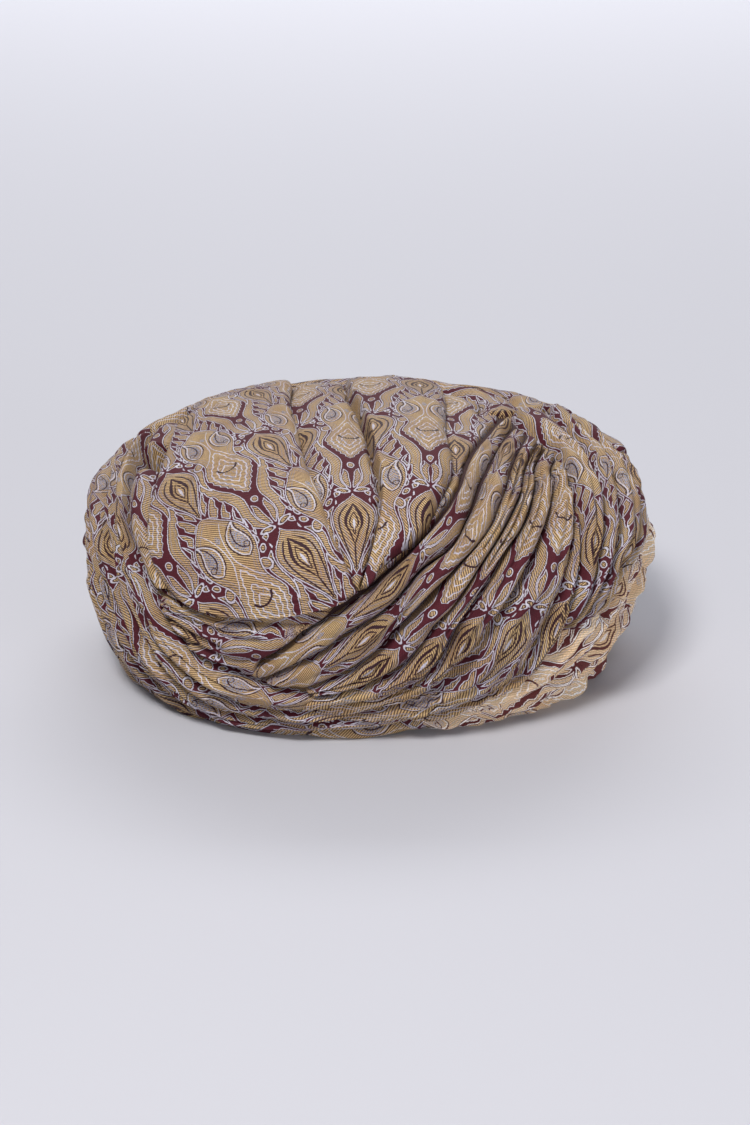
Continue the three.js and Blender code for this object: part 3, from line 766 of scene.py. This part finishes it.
# Rows of each band: height on its axis, middle, half width
leafBands = {
    "lobes": [
        [(54, 25.2, .2), (58, 23.6, 1.6), (63, 21.2, 1.9), (68, 19.0, 1.2), (72, 18.2, .2)],
        [(47, 22.2, .2), (50, 21.6, 2.0), (55, 19.6, 2.8), (60, 17.4, 2.3), (64, 16.4, .2)],
        [(41, 17.6, .2), (44, 17.2, 1.9), (48, 15.8, 2.6), (52, 14.4, 2.2), (56, 13.4, .2)],
        [(34.5, 13.2, .2), (37, 13.2, 1.5), (41, 12.6, 2.2), (45, 11.9, 1.8), (49, 11.2, .2)],
        [(25.5, 12.0, .2), (28, 11.6, 1.6), (32, 10.8, 1.9), (36, 10.4, 1.2), (40, 10.2, .2)],
        [(24.5, 1.6, .3), (28, 4.4, 2.0), (32, 7.2, 2.6), (36, 8.3, 2.9), (40, 8.2, 2.9),
         (44, 7.7, 2.9), (48, 7.4, 3.1), (52, 8.2, 3.5), (56, 9.9, 3.7), (60, 12.0, 3.5),
         (64, 14.2, 3.2), (68, 16.0, 2.8), (72, 17.2, 1.9), (76, 17.4, .2)],
    ],
    "slits": [
        [(30.5, 10.4, .2), (32.5, 10.6, .85), (35, 10.3, .6), (39, 10.2, .2)],
        [(40, 11.3, .2), (42.5, 11.8, 1.0), (45, 11.4, .7), (49, 10.9, .2)],
        [(46.5, 13.4, .2), (49, 13.6, 1.1), (52, 12.9, .7), (56, 12.9, .2)],
        [(54, 16.6, .2), (56.5, 16.4, 1.1), (59.5, 15.5, .7), (63, 15.9, .2)],
        [(61.5, 20.0, .2), (64, 19.3, .9), (67, 18.5, .5), (69, 18.5, .2)],
    ],
    "leaves": [
        [(67, 14.0, .2), (71, 15.0, 1.0), (75, 15.3, 1.5), (79, 14.6, 1.8), (83, 13.7, 2.2),
         (87, 13.4, 2.3), (91, 14.8, 2.0), (94, 17.4, .2)],
        [(27, .8, .3), (30, 1.9, 1.5), (34, 3.0, 2.0), (38, 3.2, 1.9), (41, 3.0, 1.3), (44, 3.9, .2)],
    ],
    "medallion": [
        (52, 0, .1), (54, 0, 1.9), (57, 0, 4.1), (61, 0, 6.4), (66, 0, 9.3), (71, 0, 12.0), (75, 0, 12.8),
        (79, 0, 12.0), (83, 0, 10.5), (88, 0, 9.5), (92, 0, 10.0), (97, 0, 12.4), (102, 0, 14.4),
        (108, 0, 15.2), (113, 0, 14.7), (118, 0, 12.9), (122, 0, 10.2), (125, 0, 7.6), (127, 0, 6.2),
        (129.5, 0, 4.6), (132, 0, .2)],
    "pod": [
        (-24, 0, .1), (-20, 0, 2.2), (-14, 0, 4.4), (-8, 0, 6.7), (-2, 0, 8.9), (3, 0, 10.4), (7, 0, 10.9),
        (11, 0, 10.2), (15, 0, 7.6), (18, 0, 4.4), (20.5, 0, 1.6), (23, 0, .1)],
}
darkBands = [
    [(-21, 1.2, .2), (-12, 3.4, .3), (-4, 6.0, .3), (3, 7.4, .32), (8, 7.2, .3), (12, 5.4, .3),
     (16, 2.4, .2)],
    [(-9, 0.0, .2), (-4, 1.8, .3), (2, 4.1, .4), (6, 4.0, .7), (10, 2.6, .85), (14, 0.7, .4), (16, 0, .2)],
    [(-4, 0, .2), (0, 1.5, .25), (3.5, 2.3, .25), (7, 1.4, .25), (10, 0, .2)],
    [(-22, 0, .2), (-15, 0, .3), (-9, 0, .25)],
    [(102.5, 10.6, .25), (104.5, 8.0, .25), (107, 6.7, .25), (110, 6.4, .25), (113, 7.0, .25),
     (116, 8.0, .22), (118.5, 9.8, .2)],
]
paleBands = [
    [(-2, 0, .1), (0, 0, .45), (3, 0, .75), (5, 0, .35), (6.5, 0, .1)],
    [(86, 8.8, .3), (90, 5.6, .3), (95, 3.2, .3), (100, 1.2, .28), (106, .8, .25), (113, 1.6, .25),
     (119, 3.2, .25), (124, 5.6, .2)],
]
medallionRings = [
    [(57, 0, .2), (62, 0, 3.2), (67, 0, 6.2), (72, 0, 8.8), (76, 0, 9.3), (80, 0, 8.0), (85, 0, 5.0),
     (90, 0, 3.0), (96, 0, .3)],
    [(63, 0, .2), (67, 0, 2.8), (71, 0, 5.6), (75, 0, 6.4), (79, 0, 5.2), (83, 0, 2.6), (87, 0, .2)],
    [(67, 0, .2), (70, 0, 1.8), (73, 0, 3.4), (76, 0, 3.5), (79, 0, 2.2), (81, 0, .2)],
]
paisleyBands = [
    [(98.5, 8.3, .2), (100.5, 8.4, 2.8), (103.5, 8.3, 4.5), (107, 8.0, 5.2), (110.5, 7.6, 4.9),
     (113.5, 7.4, 4.0), (116, 7.8, 2.9), (118.5, 9.2, 1.9), (121, 11.4, .9), (122.5, 12.4, .2)],
    [(100.5, 8.5, .2), (102.5, 8.5, 2.1), (106, 8.2, 3.5), (110, 7.8, 3.4), (113.5, 7.6, 2.4),
     (117, 8.3, .2)],
]

# Columns: middle, height, half width, half height, turn in degrees
leafOvals = [
    (4.8, 25.6, 4.2, 1.7, 12), (8.6, 23.0, 3.0, 1.6, -25), (9.6, 18.6, 1.5, 2.3, -25),
    (0, 46.5, 1.9, 2.5, 0), (11.8, 90.5, 2.6, 3.6, 25), (15.0, 97.5, 1.6, 2.5, -35),
    (14.8, 104, 1.6, 3.0, 0), (14.4, 111, 1.7, 2.8, 10), (4.6, 129.0, 2.2, 2.9, 30),
]
curlOvals = {"curl": (10.4, 104.6, 1.5, 1.5, 0), "fan": (0, 79.5, 5.4, 4.3, 0), "bud": (0, 116, 1.6, 3.2, 0)}


# A size of the weave in half repeats, the unit of all distances in the shader
def inUnits(key):
    return weave[key] / weave["halfRepeat"]


# 1 where a distance is below an edge and 0 above it, with a thread's softness
def below(tree, distance, edge=0):
    soft = inUnits("edge") / 2
    return mapRange(tree, distance, (edge + soft, edge - soft))


def nearest(tree, distances):
    least = distances[0]
    for distance in distances[1:]:
        least = maths(tree, "MINIMUM", least, distance)
    return least


# Distance to a line that runs inside a figure's edge
def lineInside(tree, distance, inside, halfWidth):
    away = maths(tree, "ABSOLUTE", maths(tree, "ADD", distance, inside))
    return maths(tree, "SUBTRACT", away, halfWidth)


# Smooth curve through the rows of a band, at even heights of one repeat. Past its ends the band tapers away
def bandCurve(rows):
    table = np.array(rows, float)
    heights = table[:, 0]
    at = weave["lowest"] + np.linspace(0, weave["tallest"], weave["curveSteps"])
    place = np.clip(np.searchsorted(heights, at) - 1, 0, len(heights) - 2)
    slope = np.gradient(table, heights, axis=0)
    gap = (heights[place + 1] - heights[place])[:, None]
    t = np.clip((at - heights[place]) / gap[:, 0], 0, 1)[:, None]
    curve = table[place] * (2 * t ** 3 - 3 * t ** 2 + 1) + slope[place] * gap * (t ** 3 - 2 * t ** 2 + t)
    curve = curve + table[place + 1] * (3 * t ** 2 - 2 * t ** 3) + slope[place + 1] * gap * (t ** 3 - t ** 2)
    past = np.maximum(heights[0] - at, 0) + np.maximum(at - heights[-1], 0)
    return curve[:, 1:] - np.stack([past * 0, past * weave["taper"]], -1)


# Curves of up to three columns of values over the height on a figure's axis
def curveNode(tree, heights, columns):
    node = tree.nodes.new("ShaderNodeVectorCurve")
    tree.links.new(heights, node.inputs["Vector"])
    straight = 2e-4
    for curve, values in zip(node.mapping.curves, columns):
        values = np.clip(values, -1, 1)
        places = np.linspace(-1, 1, len(values))
        curve.points[0].location = (-1, values[0])
        curve.points[1].location = (1, values[-1])
        bend = np.abs(np.diff(values, 2)) > straight
        for n in np.flatnonzero(bend) + 1:
            curve.points.new(places[n], values[n])
        for point in curve.points:
            point.handle_type = "VECTOR"
    node.mapping.update()
    parts = tree.nodes.new("ShaderNodeSeparateXYZ")
    tree.links.new(node.outputs[0], parts.inputs[0])
    return parts.outputs


# Distance to a band's edge, evened out where the edge runs aslant
def bandDistance(tree, cloth, rows):
    curve = bandCurve(rows)
    step = weave["tallest"] / (len(curve) - 1)
    middleSlope, halfSlope = (np.gradient(values, step) for values in (curve[:, 0], curve[:, 1].clip(0)))
    level = 1 / np.sqrt(1 + middleSlope ** 2 + weave["taperShare"] * halfSlope ** 2)
    middle, half, level = curveNode(tree, cloth["heights"], [*(curve.T / weave["halfRepeat"]), level])
    away = maths(tree, "ABSOLUTE", maths(tree, "SUBTRACT", cloth["across"], middle))
    return maths(tree, "MULTIPLY", maths(tree, "SUBTRACT", away, half), level)


def ovalDistance(tree, cloth, oval):
    unit = weave["halfRepeat"]
    across, height, halfWidth, halfHeight, turn = oval
    node = tree.nodes.new("ShaderNodeMapping")
    node.vector_type = "TEXTURE"
    tree.links.new(cloth["place"], node.inputs["Vector"])
    node.inputs["Location"].default_value = (across / unit, height / unit, 0)
    node.inputs["Rotation"].default_value = (0, 0, math.radians(turn))
    node.inputs["Scale"].default_value = (halfWidth / unit, halfHeight / unit, 1)
    length = tree.nodes.new("ShaderNodeVectorMath")
    length.operation = "LENGTH"
    tree.links.new(node.outputs[0], length.inputs[0])
    away = maths(tree, "SUBTRACT", length.outputs["Value"], 1)
    return maths(tree, "MULTIPLY", away, min(halfWidth, halfHeight) / unit)


# Lays one figure over the others, with a seam of outline round it
def layOver(tree, field, figure):
    seam = maths(tree, "SUBTRACT", inUnits("seam"), figure)
    return maths(tree, "MINIMUM", figure, maths(tree, "MAXIMUM", field, seam))


# Place within one axis of the repeat, from millimetres of cloth across and along
def foldRepeat(tree, across, along):
    unit, drop, low, tall = (weave[key] for key in ("halfRepeat", "dropHeight", "lowest", "tallest"))
    turned = maths(tree, "FLOORED_MODULO", maths(tree, "ADD", across, unit), 2 * unit)
    near = maths(tree, "ABSOLUTE", maths(tree, "SUBTRACT", turned, unit))
    height, otherHeight = (
        maths(tree, "ADD", maths(tree, "FLOORED_MODULO", maths(tree, "SUBTRACT", along, start), tall), low)
        for start in (low, low - drop))
    border = territory + [(y + drop, unit - x) for y, x in territory]
    border = [(y - tall, x) for y, x in border] + border
    edge = np.interp(low + np.linspace(0, tall, weave["curveSteps"]), *np.array(border).T)
    limit = curveNode(tree, axisHeights(tree, height), [edge / unit, edge * 0, edge * 0])[0]
    reach = maths(tree, "DIVIDE", near, unit)
    own = maths(tree, "LESS_THAN", reach, limit)
    reach = mixNumbers(tree, own, maths(tree, "SUBTRACT", 1, reach), reach)
    limit = mixNumbers(tree, own, maths(tree, "SUBTRACT", 1, limit), limit)
    height = mixNumbers(tree, own, otherHeight, height)
    return {
        "across": reach, "height": height, "heights": axisHeights(tree, height),
        "place": combine(tree, reach, maths(tree, "DIVIDE", height, unit), 0),
        "border": maths(tree, "ADD", maths(tree, "SUBTRACT", reach, limit), inUnits("overlap")),
    }


# Heights of one repeat as -1 to 1, for the curves
def axisHeights(tree, height):
    half = weave["tallest"] / 2
    level = maths(tree, "DIVIDE", maths(tree, "SUBTRACT", height, weave["lowest"] + half), half)
    return combine(tree, level, level, level)


# Distance to the edge of the gold figures, laid over one another
def goldFigures(tree, cloth):
    field = bandDistance(tree, cloth, leafBands["lobes"][0])
    for rows in leafBands["lobes"][1:]:
        field = layOver(tree, field, bandDistance(tree, cloth, rows))
    for rows in leafBands["slits"]:
        slit = maths(tree, "MULTIPLY", bandDistance(tree, cloth, rows), -1)
        field = maths(tree, "MAXIMUM", field, slit)
    for rows in leafBands["leaves"]:
        field = layOver(tree, field, bandDistance(tree, cloth, rows))
    for oval in leafOvals:
        field = layOver(tree, field, ovalDistance(tree, cloth, oval))
    turn = maths(tree, "MULTIPLY", cloth["height"], math.pi / weave["scallop"])
    wave = maths(tree, "ABSOLUTE", maths(tree, "SINE", turn))
    wave = maths(tree, "MULTIPLY", wave, maths(tree, "LESS_THAN", cloth["height"], weave["scallopTop"]))
    bite = maths(tree, "MULTIPLY", wave, inUnits("scallopDepth"))
    field = layOver(tree, field, maths(tree, "ADD", bandDistance(tree, cloth, leafBands["medallion"]), bite))
    field = layOver(tree, field, bandDistance(tree, cloth, leafBands["pod"]))
    return maths(tree, "MAXIMUM", field, maths(tree, "MULTIPLY", cloth["border"], weave["borderSlope"]))


# Pale threads: the pod's heart, the medallion's lines and rings, and the ring in the paisley
def paleFigures(tree, cloth, paisley):
    turn = maths(tree, "MULTIPLY", cloth["height"], weave["ripple"])
    ripple = maths(tree, "MULTIPLY", maths(tree, "SINE", turn), inUnits("rippleDepth"))
    ring = inUnits("ring")
    pale = [bandDistance(tree, cloth, rows) for rows in paleBands]
    pale += [lineInside(tree, bandDistance(tree, cloth, rows), ripple, ring) for rows in medallionRings]
    return nearest(tree, [*pale, lineInside(tree, paisley, inUnits("paisleyRing"), ring)])


# Dark threads: the paisley's edge, the drawn lines, the curl and fan, and a shadow inside each outline
def darkFigures(tree, cloth, field, paisley):
    dark = [lineInside(tree, paisley, 0, inUnits("paisleyLine"))]
    for rows in darkBands:
        dark.append(maths(tree, "SUBTRACT", bandDistance(tree, cloth, rows), inUnits("bold")))
    inside = inUnits("outline") + inUnits("shadow") + inUnits("shadowGap")
    dark.append(lineInside(tree, field, inside, inUnits("shadow")))
    dark.append(lineInside(tree, ovalDistance(tree, cloth, curlOvals["curl"]), 0, inUnits("curlLine")))
    fan = lineInside(tree, ovalDistance(tree, cloth, curlOvals["fan"]), 0, inUnits("fanLine"))
    dark.append(maths(tree, "ADD", fan, maths(tree, "GREATER_THAN", cloth["height"], weave["fanTop"])))
    return nearest(tree, dark)


# Blue threads: the paisley's middle, the bud and the rays round the fan
def blueFigures(tree, cloth, paisleyMiddle):
    away = maths(tree, "SUBTRACT", cloth["height"], weave["rayHeight"])
    angle = maths(tree, "ARCTAN2", away, maths(tree, "MULTIPLY", cloth["across"], weave["halfRepeat"]))
    rays = maths(tree, "ABSOLUTE", maths(tree, "SINE", maths(tree, "MULTIPLY", angle, weave["rays"])))
    rays = maths(tree, "MULTIPLY", maths(tree, "SUBTRACT", weave["rayShare"], rays), inUnits("rayDepth"))
    fanned = maths(tree, "MAXIMUM", bandDistance(tree, cloth, medallionRings[1]), rays)
    return nearest(tree, [paisleyMiddle, ovalDistance(tree, cloth, curlOvals["bud"]), fanned])


def newGroup(name, outputs):
    group = bpy.data.node_groups.new(name, "ShaderNodeTree")
    group.interface.new_socket("Cloth", in_out="INPUT", socket_type="NodeSocketVector")
    for output in outputs:
        group.interface.new_socket(output, in_out="OUTPUT", socket_type="NodeSocketFloat")
    start, end = (group.nodes.new(kind) for kind in ("NodeGroupInput", "NodeGroupOutput"))
    parts = group.nodes.new("ShaderNodeSeparateXYZ")
    group.links.new(start.outputs["Cloth"], parts.inputs[0])
    return group, start.outputs["Cloth"], parts.outputs, end.inputs


def noiseTexture(tree, vector, scale, detail):
    texture = tree.nodes.new("ShaderNodeTexNoise")
    texture.inputs["Scale"].default_value = scale
    texture.inputs["Detail"].default_value = detail
    tree.links.new(vector, texture.inputs["Vector"])
    return texture.outputs[0]


# Rib spacing in millimetres, turns of a yarn per millimetre in radians, and each noise's scale and detail
threads = {
    "rib": 1.05, "ribSlant": (0.75, 0.66), "ribPower": 1.1, "yarn": 16, "wobble": (0.9, 1),
    "Speckle": (1.5, 2), "Wear": (0.045, 3),
}


# Masks of the woven figures from the cloth's own map
def makeBrocadeGroup():
    tree, place, parts, masks = newGroup("brocadeFigures", ("Ground", "Contour", "Pale", "Dark", "Blue"))
    stray = maths(tree, "SUBTRACT", noiseTexture(tree, place, *threads["wobble"]), 0.5)
    stray = maths(tree, "MULTIPLY", stray, weave["wobble"] * 2)
    cloth = foldRepeat(tree, maths(tree, "ADD", parts[0], stray), maths(tree, "SUBTRACT", parts[1], stray))
    field = goldFigures(tree, cloth)
    paisley, paisleyMiddle = (bandDistance(tree, cloth, rows) for rows in paisleyBands)
    contours = [lineInside(tree, field, inUnits(key), inUnits("contourLine"))
                for key in ("contour", "innerContour")]
    outline = maths(tree, "SUBTRACT", 1, below(tree, field, -inUnits("outline")))
    pale = below(tree, paleFigures(tree, cloth, paisley))
    dark = below(tree, darkFigures(tree, cloth, field, paisley))
    results = {
        "Ground": maths(tree, "SUBTRACT", 1, below(tree, field)),
        "Contour": below(tree, nearest(tree, contours)),
        "Pale": maths(tree, "MAXIMUM", outline, pale),
        "Dark": maths(tree, "MULTIPLY", dark, below(tree, field, inUnits("darkInset"))),
        "Blue": below(tree, blueFigures(tree, cloth, paisleyMiddle), inUnits("blueInset")),
    }
    for name, result in results.items():
        tree.links.new(result, masks[name])
    return tree


# Fine diagonal ribs of the figured threads and the speckle of single yarns
def makeThreadGroup():
    tree, place, parts, masks = newGroup("clothThreads", ("Ribs", "Yarns", "Speckle", "Wear"))
    turn = 2 * math.pi / threads["rib"]
    slant = maths(tree, "ADD", *(maths(tree, "MULTIPLY", part, slope * turn)
                                 for part, slope in zip(parts, threads["ribSlant"])))
    ribs = maths(tree, "ADD", maths(tree, "MULTIPLY", maths(tree, "SINE", slant), 0.5), 0.5)
    tree.links.new(maths(tree, "POWER", ribs, threads["ribPower"]), masks["Ribs"])
    yarns = maths(tree, "MULTIPLY", *(maths(tree, "SINE", maths(tree, "MULTIPLY", parts[n], threads["yarn"]))
                                      for n in (0, 1)))
    tree.links.new(maths(tree, "ADD", maths(tree, "MULTIPLY", yarns, 0.5), 0.5), masks["Yarns"])
    for name in ("Speckle", "Wear"):
        tree.links.new(noiseTexture(tree, place, *threads[name]), masks[name])
    return tree


brocadeFigures = makeBrocadeGroup()
clothThreads = makeThreadGroup()

brocade = {
    "brocade": {
        "gold": (0.70, 0.485, 0.235), "goldShade": (0.085, 0.047, 0.026), "pale": (0.57, 0.56, 0.64),
        "blue": (0.24, 0.26, 0.36), "dark": (0.034, 0.009, 0.016), "ground": (0.080, 0.010, 0.018),
        "wear": (0.80, 0.73, 0.74),
    },
    # Paler stretch of the same brocade at the lower right: partly the cloth's own paler tone, partly painted
    # light, brightened close to white to stand in for light falling on it from the right
    "light_brocade": {
        "gold": (0.95, 0.75, 0.51), "goldShade": (0.58, 0.41, 0.25), "pale": (0.95, 0.93, 0.94),
        "blue": (0.50, 0.48, 0.52), "dark": (0.12, 0.035, 0.035), "ground": (0.13, 0.030, 0.030),
        "wear": (0.95, 0.85, 0.76),
    },
}
brocadeFinish = {
    "roughness": 0.55, "groundRoughness": 0.15, "sheen": 0.02, "specular": 0.22, "contour": 0.5,
    "speckled": 0.5, "speckleRange": (0.3, 0.7), "speckleShade": (0.72, 1.18), "wearRange": (0.35, 0.65),
    "yarnShare": 0.5, "bump": 0.5, "bumpDepth": 0.15,
}
# Inner cloth of the hollow: both tones are darkened close to black as painted shade for the shadow inside
# the hollow, and noise mixes them as random tone
innerClothPaintedShade = {
    "light": (0.075, 0.032, 0.03), "shade": (0.032, 0.012, 0.014), "roughness": 0.85, "yarnShare": 0.5,
    "bump": 0.6, "bumpDepth": 0.15,
}


# A new material, its nodes and shader, and the cloth's own map
def clothMaterial(name):
    material = bpy.data.materials.new(name)
    material.use_nodes = True
    tree = material.node_tree
    chart = tree.nodes.new("ShaderNodeUVMap")
    chart.uv_map = "cloth"
    return material, tree, tree.nodes["Principled BSDF"], chart.outputs["UV"]


def groupNode(tree, group, cloth):
    node = tree.nodes.new("ShaderNodeGroup")
    node.node_tree = group
    tree.links.new(cloth, node.inputs["Cloth"])
    return node.outputs


def addBump(tree, shader, height, row):
    bump = tree.nodes.new("ShaderNodeBump")
    bump.inputs["Strength"].default_value = row["bump"]
    bump.inputs["Distance"].default_value = row["bumpDepth"] * mm
    tree.links.new(height, bump.inputs["Height"])
    tree.links.new(bump.outputs[0], shader.inputs["Normal"])


def brocadeMaterial(name):
    row, finish = brocade[name], brocadeFinish
    material, tree, shader, chart = clothMaterial(name)
    figures = groupNode(tree, brocadeFigures, chart)
    yarn = groupNode(tree, clothThreads, chart)
    colour = mixColours(tree, yarn["Ribs"], row["goldShade"], row["gold"])
    contour = maths(tree, "MULTIPLY", figures["Contour"], finish["contour"])
    colour = mixColours(tree, contour, colour, row["blue"])
    speckled = maths(tree, "GREATER_THAN", yarn["Speckle"], finish["speckled"])
    colour = mixColours(tree, maths(tree, "MULTIPLY", figures["Blue"], speckled), colour, row["blue"])
    for mask in ("Pale", "Dark", "Ground"):
        colour = mixColours(tree, figures[mask], colour, row[mask.lower()])
    fleck = mapRange(tree, yarn["Speckle"], finish["speckleRange"], finish["speckleShade"])
    colour = mixColours(tree, 1.0, colour, combine(tree, fleck, fleck, fleck), "MULTIPLY")
    worn = mixColours(tree, 1.0, colour, row["wear"], "MULTIPLY")
    colour = mixColours(tree, mapRange(tree, yarn["Wear"], finish["wearRange"]), colour, worn)
    tree.links.new(colour, shader.inputs["Base Color"])
    rougher = maths(tree, "MULTIPLY", figures["Ground"], finish["groundRoughness"])
    tree.links.new(maths(tree, "ADD", finish["roughness"], rougher), shader.inputs["Roughness"])
    shader.inputs["Sheen Weight"].default_value = finish["sheen"]
    shader.inputs["Specular IOR Level"].default_value = finish["specular"]
    yarns = maths(tree, "MULTIPLY", yarn["Yarns"], finish["yarnShare"])
    addBump(tree, shader, maths(tree, "ADD", yarn["Ribs"], yarns), finish)
    return material


# The inner cloth's near-black colour is painted shade for the hollow
def innerClothMaterial():
    material, tree, shader, chart = clothMaterial("inner_cloth")
    yarn = groupNode(tree, clothThreads, chart)
    colour = mixColours(tree, yarn["Wear"], innerClothPaintedShade["shade"], innerClothPaintedShade["light"])
    yarns = maths(tree, "MULTIPLY", yarn["Yarns"], innerClothPaintedShade["yarnShare"])
    colour = mixColours(tree, yarns, colour, innerClothPaintedShade["shade"])
    tree.links.new(colour, shader.inputs["Base Color"])
    shader.inputs["Roughness"].default_value = innerClothPaintedShade["roughness"]
    addBump(tree, shader, yarn["Yarns"], innerClothPaintedShade)
    return material


materials = {name: brocadeMaterial(name) for name in brocade}
materials["inner_cloth"] = innerClothMaterial()
print("stage: brocade and inner cloth")


# Each wrap is one sheet of cloth, and those under others are pushed below them
def makeWraps():
    cloths = {wrap["name"]: foldedCloth(wrap) for wrap in wraps}
    raw = {name: formPoint(bodyForm, cloth["way"], cloth["lift"]) for name, cloth in cloths.items()}
    for wrap in wraps:
        name = wrap["name"]
        points, normals = raw[name]
        if wrap["under"]:
            above = [cover for cover in wraps if cover["name"] in wrap["under"]]
            covers = [coverPart(cover, raw[cover["name"]][0]) for cover in above]
            points = pushUnder(points, normals, covers)
        points = restOnFloor(points)
        across, along = clothMap(wrap, points, normals, cloths[name])
        piece = gridObject(name, points, across, along)
        piece.data.materials.append(materials[wrap["slot"]])
        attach(piece, "root")
        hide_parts(name)


innerWinding = {
    "outerRings": 90, "sides": 220, "rimRings": 40, "hollowRings": 50, "lift": -1.0, "lowest": -36.5,
    "hollowStart": 1.5, "rolls": 3, "rollDepth": 4, "rollSharpness": 3, "weld": 0.02,
    "dent": {"azimuth": -84, "latitude": 41, "wide": 10, "high": 7, "depth": 24},
}


# The inner turns of cloth: over the crown, under the rim and up round the hollow
def makeInnerWinding():
    row = innerWinding
    turn = np.linspace(-180, 180, row["sides"] + 1)[:, None]
    climb = np.linspace(90, row["lowest"], row["outerRings"])[None, :]
    dent = row["dent"]
    away = ((turn - dent["azimuth"]) / dent["wide"]) ** 2 + ((climb - dent["latitude"]) / dent["high"]) ** 2
    outer = formPoint(bodyForm, direction(turn, climb), row["lift"] - dent["depth"] * np.exp(-away))[0]
    inside = np.linspace(row["hollowStart"], 90, row["hollowRings"])[None, :]
    hollow = formPoint(headForm, direction(turn, inside), 0)[0]
    share = np.linspace(0, 1, row["rimRings"] + 2)[1:-1][None, :, None]
    rim = outer[:, -1:] * (1 - share) + hollow[:, :1] * share
    roll = abs(np.cos(np.pi * row["rolls"] * share[..., 0])) ** row["rollSharpness"]
    rim[..., 2] = row["rollDepth"] * roll
    points = restOnFloor(np.concatenate([outer, rim, hollow], 1))
    piece = gridObject("inner_winding", points, lengthsAlong(points, 1), lengthsAlong(points, 0))
    bm = bmesh.new()
    bm.from_mesh(piece.data)
    bmesh.ops.remove_doubles(bm, verts=bm.verts, dist=row["weld"] * mm)
    bmesh.ops.recalc_face_normals(bm, faces=bm.faces)
    bm.to_mesh(piece.data)
    bm.free()
    piece.data.materials.append(materials["inner_cloth"])
    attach(piece, "root")
    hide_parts("inner_winding")


makeWraps()
makeInnerWinding()
print("stage: all cloth made")
